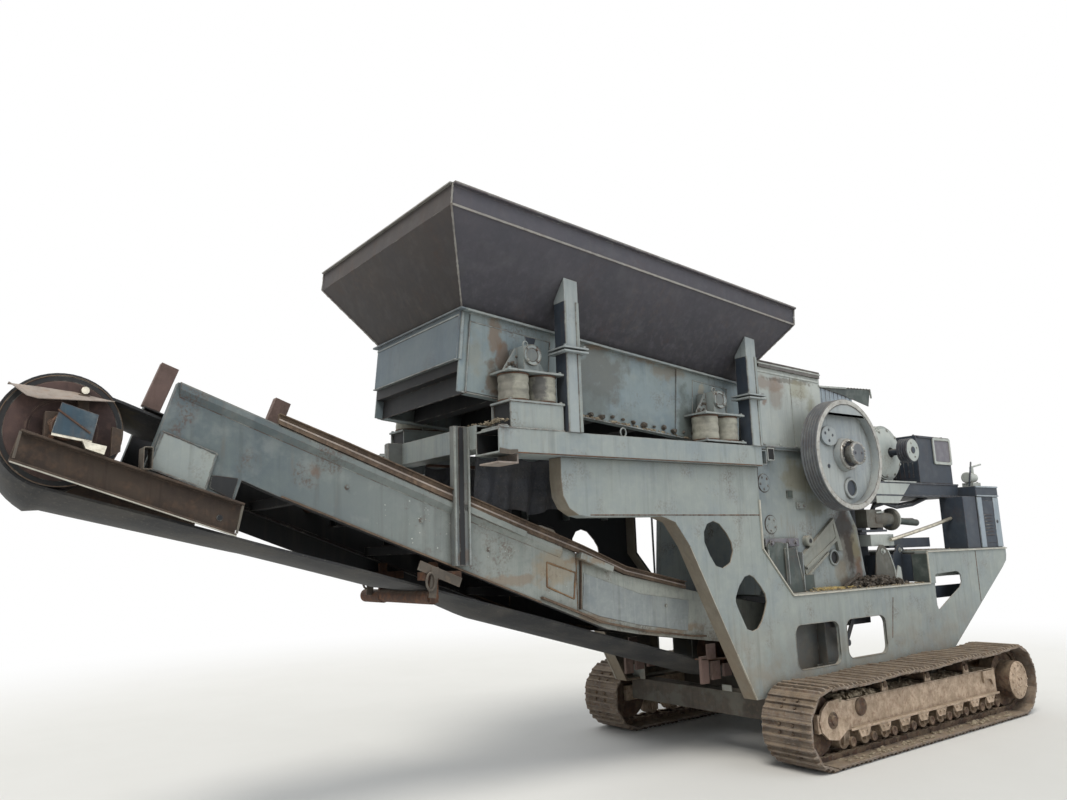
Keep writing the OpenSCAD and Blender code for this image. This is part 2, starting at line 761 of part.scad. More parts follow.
stringer = [
  [-5880, 2600], [-6040, 2095], [-5735, 1965], [-5575, 1915], [-5525, 2075], [-5310, 1985],
  [-3480, 1290], [-2890, 1070], [-2580, 1010], [-2000, 925], [-700, 735], [-700, 1070],
  [-1940, 1285], [-2720, 1450], [-3300, 1670], [-4200, 1980]
];
module stringer_plate() {
  prism_y(stringer, -conv_y, -conv_y + conv_t);
}
module conveyor_frame() {
  difference() {
    prism_y(stringer, -conv_y, -conv_y + conv_flange);
    prism_y(inset(stringer, conv_t), -conv_y + conv_t, -conv_y + conv_flange + 1);
  }
}
module conveyor_frame_near() color(paint) row() conveyor_frame();
module conveyor_frame_far() color(paint) row() far_side() conveyor_frame();

// Height of the stringer's underside and of its top at x.
low_pts = [[-5310, 1985], [-3480, 1290], [-2890, 1070], [-2580, 1010], [-2000, 925], [-700, 735]];
function low_z(x) = lookup(x, low_pts);
tie_y = conv_y - conv_t;
module conveyor_cross_ties() color(rust) row()
  for (x = [-5200, -4380, -3560, -2300, -1400])
    box(x, x + 60, -tie_y, tie_y, low_z(x) + conv_t + 2, low_z(x) + conv_t + 62);

// The belt runs over the head drum, down to the tail drum and back underneath.
slope = 19.2;
top_bend = [-2750, 1310];
low_bend = [-4200, 1395];
function belt_path(d) = concat(
  arc(head_x, head_z, head_r - d, 90 - slope, 254, 20),
  [low_bend + [0, d]],
  arc(tail_x, tail_z, tail_r - d, -106, 80, 14),
  [top_bend - [0, d]]
);
module conveyor_belt() color(rubber) row() difference() {
  prism_y(belt_path(0), -belt_half_w, belt_half_w);
  prism_y(belt_path(belt_t), -belt_half_w - 1, belt_half_w + 1);
}

drum_half = 345;
module head_drum() color(rust) row() {
  difference() {
    cyl_y(head_x, head_z, head_r - belt_t - drum_gap, -drum_half, drum_half);
    for (s = [0, 1]) mirror([0, s, 0])
      cyl_y(head_x, head_z, head_r - belt_t - drum_gap - 30, -drum_half - 1, -drum_half + 40);
  }
  cyl_y(head_x, head_z, 40, -430, -drum_half + 40);
  cyl_y(head_x, head_z, 40, drum_half - 40, 430);
}
chan_low_a = [head_x - 230, head_z - 175];
chan_low_b = [-5560, 1770];
chan_top_a = [head_x - 190, head_z - 25];
chan_top_b = [-5520, 1940];
chan_t = 8;
chan_out = 50;
module head_channels() color(rust) row() for (s = [0, 1]) mirror([0, s, 0]) {
  difference() {
    prism_y([chan_low_a, chan_low_b, chan_top_b, chan_top_a], -conv_y - chan_out, -conv_y);
    prism_y([chan_low_a + [-40, 22], chan_low_b + [40, -4], chan_top_b + [40, -22],
             chan_top_a + [-40, 4]], -conv_y - chan_out - 1, -conv_y - chan_t);
  }
  difference() {
    prism_y([[head_x - 90, chan_at(head_x - 90)], [head_x + 90, chan_at(head_x + 90)],
             [head_x + 90, head_z + 75], [head_x - 90, head_z + 75]], -conv_y - 30, -conv_y + 40);
    cyl_y(head_x, head_z, 40 + fit, -conv_y - 31, -conv_y + 41);
  }
}
function chan_at(x) = at_height_x(chan_top_a, chan_top_b, x);
function at_height_x(a, b, x) = a[1] + (b[1] - a[1]) * (x - a[0]) / (b[0] - a[0]);
guard_tip = [head_x - 230, head_z + 215];
guard_fold = [head_x - 90, head_z + 155];
guard_tail = [head_x + 460, head_z + 95];
module head_guard() color(steel) row() {
  prism_y([guard_tip, guard_fold, guard_tail, guard_tail + [0, 6], guard_fold + [0, 8],
           guard_tip + [0, 8]], -conv_y - 40, -conv_y + 60);
  prism_y([[head_x - 60, head_z + 75], [head_x + 60, head_z + 75],
           [head_x + 60, at_height_x(guard_fold, guard_tail, head_x + 60)],
           [head_x - 60, at_height_x(guard_fold, guard_tail, head_x - 60)]],
          -conv_y - 30, -conv_y - 22);
}
module tail_drum() color(rust) row() {
  cyl_y(tail_x, tail_z, tail_r - belt_t - wheel_gap, -330, 330);
  for (s = [0, 1]) mirror([0, s, 0]) cyl_y(tail_x, tail_z, 35, -conv_y - 12, -330);
}
idler_tube_r = 44;
return_x = low_bend[0] - 70;
function carry_z(x) = at_height_x([head_x + head_r * cos(90 - slope), head_z + head_r * sin(90 - slope)],
                                  top_bend, x);
module conveyor_idlers() color(rust) row() {
  cyl_y(return_x, low_bend[1] + 19 - idler_tube_r / cos(15.4) - 1, idler_tube_r, -350, 350);
  for (s = [0, 1]) mirror([0, s, 0]) {
    box(return_x - 30, return_x + 30, -370, -350, low_bend[1] - 60, low_z(return_x));
    box(return_x - 110, return_x + 160, -conv_y, -350, low_z(return_x + 160) - 50,
        low_z(return_x + 160));
  }
  for (x = [-5600, -4800, -4000, -3200])
    cyl_y(x, carry_z(x) - belt_t / cos(slope) - idler_tube_r / cos(slope) - 1, idler_tube_r,
          -tie_y, tie_y);
}
module conveyor_brackets() color(paint) row() {
  for (s = [0, 1]) mirror([0, s, 0]) {
    box(rail_front_x - 115, rail_front_x, -490, -conv_y, 1560, rail_top + beam_lift);
    difference() {
      box(tail_x - 110, tail_x + 110, -conv_y - 12, -conv_y, tail_z - 80, tail_z + 240);
      cyl_y(tail_x, tail_z, 35 + fit, -conv_y - 13, -conv_y + 1);
    }
  }
  for (p = [[-5840, 300], [-5140, 400]])
    translate([p[0], 0, at_height_x(stringer[0], stringer[15], p[0])])
      rotate([0, atan2(stringer[0][1] - stringer[15][1], stringer[15][0] - stringer[0][0]), 0])
        box(-55, 55, conv_y - 60, conv_y, fit, p[1]);
}

track_chain_near();
track_chain_far();
track_frame_near();
track_frame_far();
track_wheels_near();
track_wheels_far();
track_cross_beams();
side_frame_near();
side_frame_far();
crusher_deck();
rear_platform();
rail_near();
rail_far();
upper_cross_beams();
hopper_posts();
hopper_side_near();
hopper_side_far();
hopper_front();
hopper_rear();
feeder_side_near();
feeder_side_far();
feeder_trough();
springs_near();
springs_far();
crusher_cheek_near();
crusher_cheek_far();
crusher_end_walls();
fixed_jaw();
swing_jaw();
crusher_inlet_box();
crusher_hood();
crusher_bearings();
crusher_shaft();
flywheel_near();
flywheel_far();
toggle_gear();
drive_motor();
motor_pulley();
motor_beam();
cooler_box();
rear_cabinet();
conveyor_frame_near();
conveyor_frame_far();
conveyor_cross_ties();
conveyor_idlers();
conveyor_belt();
head_drum();
head_channels();
head_guard();
tail_drum();
conveyor_brackets();
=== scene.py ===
"""The looks of a used tracked jaw crusher, built around its packed construction.

Every length is in metres unless a name says millimetres. Pieces are drawn with X measured from the
middle of the tracks, Y from the middle plane of the machine and Z from the ground, and are moved
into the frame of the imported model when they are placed. The near side is the one at minus Y.
"""

from __future__ import annotations

import logging
import math
import random
from dataclasses import dataclass, field
from enum import Enum
from typing import Callable, Sequence

import bmesh
import bpy
from mathutils import Matrix, Vector, noise

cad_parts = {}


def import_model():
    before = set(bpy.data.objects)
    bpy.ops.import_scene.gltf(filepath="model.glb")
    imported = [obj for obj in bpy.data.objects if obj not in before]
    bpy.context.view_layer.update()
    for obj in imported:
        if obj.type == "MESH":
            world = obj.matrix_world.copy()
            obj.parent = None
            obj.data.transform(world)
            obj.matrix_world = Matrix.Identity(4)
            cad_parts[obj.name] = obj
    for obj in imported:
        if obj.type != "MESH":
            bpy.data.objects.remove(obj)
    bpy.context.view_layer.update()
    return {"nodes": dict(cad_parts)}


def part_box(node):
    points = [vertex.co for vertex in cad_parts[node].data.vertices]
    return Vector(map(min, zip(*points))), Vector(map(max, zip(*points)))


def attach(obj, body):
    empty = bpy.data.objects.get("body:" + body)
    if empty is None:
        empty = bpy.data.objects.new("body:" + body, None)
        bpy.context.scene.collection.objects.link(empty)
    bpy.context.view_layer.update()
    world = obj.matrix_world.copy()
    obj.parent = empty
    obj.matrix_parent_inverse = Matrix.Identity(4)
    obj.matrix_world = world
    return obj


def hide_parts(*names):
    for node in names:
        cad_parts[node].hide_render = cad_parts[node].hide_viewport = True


LOG = logging.getLogger("jaw_crusher")
MM = 0.001
LENGTHWISE = (1, 0, 0)
ACROSS = (0, 1, 0)
UP = (0, 0, 1)
OUTWARD = (0, -1, 0)

Pair = tuple[float, float]
Triple = tuple[float, float, float]
Nodes = dict[str, bpy.types.Object]
Rule = Callable[[Vector, Vector], bool]


class Side(Enum):
    """A side of the machine, with the sign of its Y."""

    NEAR = -1
    FAR = 1

    @property
    def word(self) -> str:
        """The end of the names of this side's pieces."""
        return self.name.lower()


class Axis(Enum):
    """A main direction of the machine."""

    X = 0
    Y = 1
    Z = 2


def linear(hex_colour: str) -> tuple[float, float, float, float]:
    """Turns an sRGB hex colour into linear light.

    Args:
        hex_colour: six hex digits, with or without a leading hash.

    Returns:
        Red, green, blue and an alpha of 1.
    """
    digits = hex_colour.lstrip("#")
    parts = [int(digits[i : i + 2], 16) / 255 for i in (0, 2, 4)]
    light = [p / 12.92 if p <= 0.04045 else ((p + 0.055) / 1.055) ** 2.4 for p in parts]
    return (*light, 1.0)


def add(tree: bpy.types.NodeTree, kind: str, inputs: dict | None = None, **settings) -> bpy.types.Node:
    """Adds one node with its settings and links.

    Args:
        tree: the node tree that gets it.
        kind: the node's type name without its ShaderNode prefix.
        inputs: values or output sockets by input name or number.
        settings: properties of the node.

    Returns:
        The new node.
    """
    node = tree.nodes.new("ShaderNode" + kind)
    for name, value in settings.items():
        setattr(node, name, value)
    for key, value in (inputs or {}).items():
        if isinstance(value, bpy.types.NodeSocket):
            tree.links.new(value, node.inputs[key])
        else:
            node.inputs[key].default_value = value
    return node


class Layers:
    """A material made as a stack of coats, each laid over the last through a mask."""

    def __init__(self, name: str, colour: str, roughness: float, metallic: float = 0.0) -> None:
        """Starts the stack.

        Args:
            name: the material's name.
            colour: the lowest coat, as an sRGB hex colour.
            roughness: its roughness.
            metallic: how far it is bare metal.
        """
        self.material = bpy.data.materials.new(name)
        self.material.use_nodes = True
        self.tree = self.material.node_tree
        self.tree.nodes.clear()
        self.place = add(self.tree, "TexCoord").outputs["Object"]
        self.seed = 0.0
        self.colour: bpy.types.NodeSocket | tuple[float, ...] = linear(colour)
        self.roughness: bpy.types.NodeSocket | float = roughness
        self.metallic = metallic
        self.height: bpy.types.NodeSocket | None = None
        self.rim: bpy.types.NodeSocket | None = None

    def patches(
        self, size_mm: float, low: float, high: float, detail: float = 6.0, stretch: Triple = (1, 1, 1)
    ) -> bpy.types.NodeSocket:
        """A mask of soft irregular patches.

        Args:
            size_mm: how large the patches are.
            low: the noise level where a patch begins.
            high: the level where it is full.
            detail: how many finer octaves break its edge.
            stretch: how much finer the pattern is along X, Y and Z.

        Returns:
            A socket from 0 to 1.
        """
        self.seed += 3.7
        shift = (self.seed, self.seed * 1.7, self.seed * 0.6)
        moved = add(self.tree, "Mapping", {"Vector": self.place, "Location": shift, "Scale": stretch}).outputs[0]
        grain = add(self.tree, "TexNoise", {"Vector": moved, "Scale": 1 / (size_mm * MM), "Detail": detail,
                                            "Roughness": 0.62})
        cut = add(self.tree, "MapRange", {"Value": grain.outputs[0], "From Min": low, "From Max": high})
        return cut.outputs[0]

    def runs(self, width_mm: float, length_mm: float, low: float, high: float) -> bpy.types.NodeSocket:
        """A mask of upright streaks that water has left.

        Args:
            width_mm: the width of a streak.
            length_mm: its length.
            low: the noise level where a streak begins.
            high: the level where it is full.

        Returns:
            A socket from 0 to 1.
        """
        return self.patches(width_mm, low, high, 3.0, (1, 1, width_mm / length_mm))

    def upward(self, start: float = 0.35) -> bpy.types.NodeSocket:
        """A mask of the faces that look up, where dust settles.

        Args:
            start: the slope at which dust begins to hold.

        Returns:
            A socket from 0 to 1.
        """
        normal = add(self.tree, "NewGeometry").outputs["Normal"]
        parts = add(self.tree, "SeparateXYZ", {0: normal})
        return add(self.tree, "MapRange", {"Value": parts.outputs[2], "From Min": start, "From Max": 0.95}).outputs[0]

    def below(self, full: float, none: float) -> bpy.types.NodeSocket:
        """A mask that is full low down.

        Args:
            full: the height under which it is 1.
            none: the height over which it is 0.

        Returns:
            A socket from 0 to 1.
        """
        parts = add(self.tree, "SeparateXYZ", {0: self.place})
        return add(self.tree, "MapRange", {"Value": parts.outputs[2], "From Min": full, "From Max": none,
                                           "To Min": 1.0, "To Max": 0.0}).outputs[0]

    def along(self, start: float, end: float) -> bpy.types.NodeSocket:
        """A mask that grows along the machine.

        Args:
            start: the X where it begins.
            end: the X where it is full.

        Returns:
            A socket from 0 to 1.
        """
        parts = add(self.tree, "SeparateXYZ", {0: self.place})
        return add(self.tree, "MapRange", {"Value": parts.outputs[0], "From Min": start + MID,
                                           "From Max": end + MID}).outputs[0]

    def spot(self, centre: Triple, reach: Triple) -> bpy.types.NodeSocket:
        """A mask of one ragged patch at a given place.

        Args:
            centre: its middle.
            reach: how far it goes along X, Y and Z.

        Returns:
            A socket from 0 to 1.
        """
        middle = (centre[0] + MID, centre[1], centre[2])
        moved = add(self.tree, "VectorMath", {0: self.place, 1: middle}, operation="SUBTRACT").outputs[0]
        sized = add(self.tree, "VectorMath", {0: moved, 1: reach}, operation="DIVIDE").outputs[0]
        far = add(self.tree, "VectorMath", {0: sized}, operation="LENGTH").outputs["Value"]
        ragged = self.both(self.patches(1400 * min(reach), 0.3, 0.7, 9), 0.9)
        reached = add(self.tree, "Math", {0: far, 1: ragged}, operation="ADD").outputs[0]
        return add(self.tree, "MapRange", {"Value": reached, "From Min": 0.95, "From Max": 1.35,
                                           "To Min": 1.0, "To Max": 0.0}).outputs[0]

    def edges(self, width_mm: float) -> bpy.types.NodeSocket:
        """A mask of the corners, where a coat wears first and where painted highlight is laid.

        Args:
            width_mm: how far from a corner the wear reaches, up to 8.

        Returns:
            A socket from 0 to 1.
        """
        if self.rim is None:
            rounded_normal = add(self.tree, "Bevel", {"Radius": 8 * MM}, samples=3).outputs[0]
            normal = add(self.tree, "NewGeometry").outputs["Normal"]
            self.rim = add(self.tree, "VectorMath", {0: rounded_normal, 1: normal},
                           operation="DOT_PRODUCT").outputs["Value"]
        first = 0.995 - 0.014 * (8 - width_mm)
        return add(self.tree, "MapRange", {"Value": self.rim, "From Min": first, "From Max": first - 0.11}).outputs[0]

    def corners(self, reach_mm: float) -> bpy.types.NodeSocket:
        """A mask of the inner corners from ambient occlusion, where dirt gathers and shade falls, so a coat laid
        through it is painted shade as well as dirt.

        Args:
            reach_mm: how far from a corner the dirt reaches.

        Returns:
            A socket from 0 to 1.
        """
        shade = add(self.tree, "AmbientOcclusion", {"Distance": reach_mm * MM}, samples=3).outputs["AO"]
        return add(self.tree, "MapRange", {"Value": shade, "From Min": 0.75, "From Max": 0.35}).outputs[0]

    def both(self, first: bpy.types.NodeSocket, second: bpy.types.NodeSocket | float) -> bpy.types.NodeSocket:
        """The product of two masks, or of a mask and a number.

        Args:
            first: a mask.
            second: another, or a share from 0 to 1.

        Returns:
            A socket from 0 to 1.
        """
        return add(self.tree, "Math", {0: first, 1: second}, operation="MULTIPLY").outputs[0]

    def lay(self, mask: bpy.types.NodeSocket, share: float, colour: str, roughness: float | None = None) -> None:
        """Lays a coat over what is there.

        Args:
            mask: where it lies.
            share: how thickly it covers, from 0 to 1.
            colour: its sRGB hex colour.
            roughness: its roughness, or None to leave it.
        """
        amount = self.both(mask, share)
        self.colour = add(self.tree, "Mix", {0: amount, 6: self.colour, 7: linear(colour)},
                          data_type="RGBA").outputs[2]
        if roughness is not None:
            self.roughness = add(self.tree, "Mix", {0: amount, 2: self.roughness, 3: roughness}).outputs[0]

    def raise_by(self, mask: bpy.types.NodeSocket, height_mm: float) -> None:
        """Adds relief to the surface.

        Args:
            mask: the shape of the relief, from 0 to 1.
            height_mm: its height where the mask is 1.
        """
        rise = self.both(mask, height_mm)
        if self.height is not None:
            rise = add(self.tree, "Math", {0: self.height, 1: rise}, operation="ADD").outputs[0]
        self.height = rise

    def done(self, specular: float = 0.5) -> bpy.types.Material:
        """Closes the stack.

        Args:
            specular: the strength of its gloss at normal sight, for what isn't metal.

        Returns:
            The finished material.
        """
        shader = add(self.tree, "BsdfPrincipled", {"Base Color": self.colour, "Roughness": self.roughness,
                                                   "Metallic": self.metallic, "Specular IOR Level": specular})
        if self.height is not None:
            relief = add(self.tree, "Bump", {"Height": self.height, "Distance": MM, "Strength": 1.0})
            self.tree.links.new(relief.outputs[0], shader.inputs["Normal"])
        add(self.tree, "OutputMaterial", {0: shader.outputs[0]})
        return self.material


DUST = "#a3998a"
DRY_MUD = "#857561"
OLD_RUST = "#56392b"
# Dark dirt colour; laid through the corners mask it is painted shade as well.
GRIME_AND_SHADE = "#383631"


@dataclass(frozen=True)
class StainAndShadow:
    """A patch of rust, grease or dust that lies at one place of the machine, or a painted shadow laid the same way."""

    centre: Triple
    reach: Triple
    colour: str
    share: float = 0.75
    roughness: float = 0.85


@dataclass(frozen=True)
class Enamel:
    """Sprayed alkyd enamel on hot-rolled plate, years in the open.

    The eye sees a chalky, patchy coat with rain streaks, rust that bleeds from edges and seams,
    dirt with painted shade in the corners, pale worn edges that are partly painted highlight and pale dust
    on every ledge. The hopper's finishes add painted shade low down; the conveyor's turns paler towards
    the rear, partly with dust and partly as painted light.
    """

    name: str
    base: str
    faded: str
    cool: str
    rust: float = 0.5
    dust: float = 0.6
    # Share of the dark coat in occluded corners: dirt and painted shade.
    corner_grime_and_shade: float = 0.6
    mud_top: float = 1.1
    roughness: float = 0.62
    bloom: float = 0.16
    streaks: float = 0.25
    # Colour towards the machine's rear, partly dust and partly painted light.
    rearward: str = ""
    span: Pair = (-5.4, -2.4)
    # Colour laid low down as painted shade.
    lower: str = ""
    low_painted_shade_span: Pair = (3.05, 3.75)
    stains_and_shadows: tuple[StainAndShadow, ...] = ()

    def build(self) -> bpy.types.Material:
        """Makes the material.

        Returns:
            The finish, ready to be put on a piece.
        """
        coat = Layers(self.name, self.base, self.roughness)
        coat.lay(coat.patches(650, 0.38, 0.66), 0.6, self.faded, 0.7)
        coat.lay(coat.patches(420, 0.45, 0.7), 0.6, self.cool)
        # Paler towards the rear: partly dust, partly painted light.
        if self.rearward:
            coat.lay(coat.along(*self.span), 0.85, self.rearward, 0.7)
        # Painted shade: darker towards the bottom.
        if self.lower:
            coat.lay(coat.below(*self.low_painted_shade_span), 0.9, self.lower)
        coat.lay(coat.patches(55, 0.48, 0.7, 8), 0.35, self.faded)
        coat.lay(coat.patches(150, 0.5, 0.68, 10), self.bloom, "#aeb1ab", 0.75)
        coat.lay(coat.runs(38, 700, 0.54, 0.7), 0.4, self.faded, 0.7)
        coat.lay(coat.runs(60, 1100, 0.54, 0.74), self.streaks, GRIME_AND_SHADE)
        coat.lay(coat.patches(9, 0.62, 0.7, 3), 0.35, self.faded)
        stain = coat.both(coat.patches(900, 0.5, 0.62), coat.runs(40, 420, 0.52, 0.68))
        coat.lay(stain, self.rust * 0.6, "#756353", 0.8)
        for mark in self.stains_and_shadows:
            coat.lay(coat.spot(mark.centre, mark.reach), mark.share, mark.colour, mark.roughness)
        coat.lay(coat.both(coat.patches(260, 0.55, 0.66, 9), coat.patches(14, 0.45, 0.6)), self.rust, OLD_RUST, 0.9)
        # Dirt and painted shade in the occluded corners.
        coat.lay(coat.corners(90), self.corner_grime_and_shade, GRIME_AND_SHADE, 0.85)
        coat.lay(coat.both(coat.edges(7), coat.patches(70, 0.36, 0.56)), min(1.0, 0.45 + self.rust), OLD_RUST, 0.85)
        # Pale worn edges, laid partly as painted highlight along the outer edges.
        coat.lay(coat.both(coat.edges(4), coat.patches(120, 0.5, 0.58)), 0.55, "#b9bcb2", 0.55)
        coat.lay(coat.both(coat.upward(), coat.patches(90, 0.3, 0.6)), self.dust, DUST, 0.95)
        coat.lay(coat.both(coat.below(0.45, self.mud_top), coat.patches(160, 0.36, 0.6, 9)), 0.6, DRY_MUD, 0.95)
        coat.raise_by(coat.patches(420, 0.3, 0.7, 2), 2.2)
        coat.raise_by(coat.patches(6, 0.3, 0.8, 3), 0.12)
        return coat.done(0.4)


@dataclass(frozen=True)
class RustedSteel:
    """Hot-rolled steel that has lost its coat and rusted through several winters.

    The eye sees mottled brown with orange blooms, dark scale and a rough, dry skin.
    """

    name: str
    base: str
    bloom: str
    dark: str
    paint: str = "#6d6f6b"
    paint_left: float = 0.0
    dust: float = 0.45

    def build(self) -> bpy.types.Material:
        """Makes the material.

        Returns:
            The finish, ready to be put on a piece.
        """
        skin = Layers(self.name, self.base, 0.85)
        skin.lay(skin.patches(180, 0.42, 0.62, 9), 0.8, self.dark, 0.75)
        skin.lay(skin.patches(45, 0.5, 0.68, 9), 0.7, self.bloom, 0.95)
        skin.lay(skin.runs(30, 380, 0.52, 0.7), 0.5, self.dark)
        skin.lay(skin.patches(320, 0.5, 0.56, 9), self.paint_left, self.paint, 0.65)
        skin.lay(skin.both(skin.edges(5), skin.patches(60, 0.4, 0.6)), 0.5, "#8b7868", 0.6)
        # Dark coat in the occluded corners: dirt and painted shade.
        skin.lay(skin.corners(70), 0.5, "#2b2521", 0.9)
        skin.lay(skin.both(skin.upward(), skin.patches(70, 0.32, 0.6)), self.dust, DUST, 0.95)
        skin.raise_by(skin.patches(22, 0.3, 0.75, 8), 0.7)
        skin.raise_by(skin.patches(200, 0.3, 0.7, 3), 1.0)
        return skin.done(0.3)


@dataclass(frozen=True)
class DustySteel:
    """Forged and cast undercarriage steel, caked with dried mud.

    The eye sees brown dust with darker damp patches, and worn metal where it rubs.
    """

    name: str
    base: str
    dark: str
    worn: str
    caked: float = 0.75

    def build(self) -> bpy.types.Material:
        """Makes the material.

        Returns:
            The finish, ready to be put on a piece.
        """
        skin = Layers(self.name, self.base, 0.88)
        skin.lay(skin.patches(140, 0.42, 0.62, 9), 0.75, self.dark, 0.8)
        skin.lay(skin.patches(30, 0.48, 0.66, 8), 0.5, "#6b4a35", 0.9)
        # Dark coat in the occluded corners: dirt and painted shade.
        skin.lay(skin.corners(60), 0.55, "#2a2420", 0.95)
        skin.lay(skin.both(skin.edges(5), skin.patches(50, 0.38, 0.58)), 0.7, self.worn, 0.5)
        skin.lay(skin.patches(75, 0.46, 0.58, 10), self.caked * 0.7, DRY_MUD, 0.97)
        skin.lay(skin.both(skin.upward(0.2), skin.patches(60, 0.28, 0.55)), self.caked, "#9c8c76", 0.97)
        skin.raise_by(skin.patches(40, 0.4, 0.62, 8), 2.4)
        skin.raise_by(skin.patches(7, 0.3, 0.8, 4), 0.5)
        return skin.done(0.25)


@dataclass(frozen=True)
class BeltRubber:
    """Calendered conveyor rubber, dulled by stone dust.

    The eye sees soft black-grey with long wear lines and a dry, slightly shiny skin. Patches at given places,
    where a finish has them, are dirt on the belt and painted shadow on the spring mounts.
    """

    name: str
    base: str
    dust: float = 0.5
    folds: float = 0.0
    stains_and_shadows: tuple[StainAndShadow, ...] = ()

    def build(self) -> bpy.types.Material:
        """Makes the material.

        Returns:
            The finish, ready to be put on a piece.
        """
        skin = Layers(self.name, self.base, 0.6)
        for mark in self.stains_and_shadows:
            skin.lay(skin.spot(mark.centre, mark.reach), mark.share, mark.colour, mark.roughness)
        skin.lay(skin.patches(260, 0.42, 0.62, 8), 0.5, "#55524d", 0.75)
        skin.lay(skin.patches(60, 0.45, 0.7, 6, (0.12, 1, 1)), 0.4, "#24262a", 0.5)
        skin.lay(skin.patches(16, 0.58, 0.7, 4), 0.35, "#7c766c", 0.85)
        skin.lay(skin.both(skin.upward(0.1), skin.patches(80, 0.35, 0.65)), self.dust, "#8b8273", 0.95)
        skin.raise_by(skin.patches(30, 0.3, 0.7, 6, (0.3, 1, 1)), 0.6)
        if self.folds > 0:
            skin.raise_by(skin.patches(110, 0.35, 0.65, 5, (1, 1, 0.5)), self.folds)
        return skin.done(0.35)


@dataclass(frozen=True)
class MachinedSteel:
    """Turned or ground bare steel that has dulled and spotted with rust.

    The eye sees a grey sheen broken by brown spots and smeared grease.
    """

    name: str
    base: str = "#9b9c98"
    spots: float = 0.5
    roughness: float = 0.38

    def build(self) -> bpy.types.Material:
        """Makes the material.

        Returns:
            The finish, ready to be put on a piece.
        """
        skin = Layers(self.name, self.base, self.roughness, 0.75)
        skin.lay(skin.patches(60, 0.45, 0.65, 8), 0.5, "#6f6d68", 0.5)
        skin.lay(skin.patches(25, 0.52, 0.66, 8), self.spots, "#6e4a34", 0.85)
        # Dark coat in the occluded corners: dirt and painted shade.
        skin.lay(skin.corners(40), 0.5, "#2d2924", 0.8)
        skin.lay(skin.both(skin.upward(), skin.patches(50, 0.4, 0.62)), 0.4, DUST, 0.9)
        skin.raise_by(skin.patches(5, 0.3, 0.8, 3), 0.12)
        return skin.done()


@dataclass(frozen=True)
class DriedEarth:
    """Dried clay, grit and straw that fell from the feeder and stayed.

    The eye sees a crumbly pale brown with darker clods.
    """

    name: str
    base: str = "#8a7860"
    light: str = "#b3a384"

    def build(self) -> bpy.types.Material:
        """Makes the material.

        Returns:
            The finish, ready to be put on a piece.
        """
        skin = Layers(self.name, self.base, 0.97)
        skin.lay(skin.patches(30, 0.45, 0.65, 8), 0.8, self.light)
        skin.lay(skin.patches(18, 0.52, 0.66, 8), 0.6, "#5c4937")
        skin.raise_by(skin.patches(12, 0.3, 0.7, 8), 2.0)
        return skin.done(0.2)


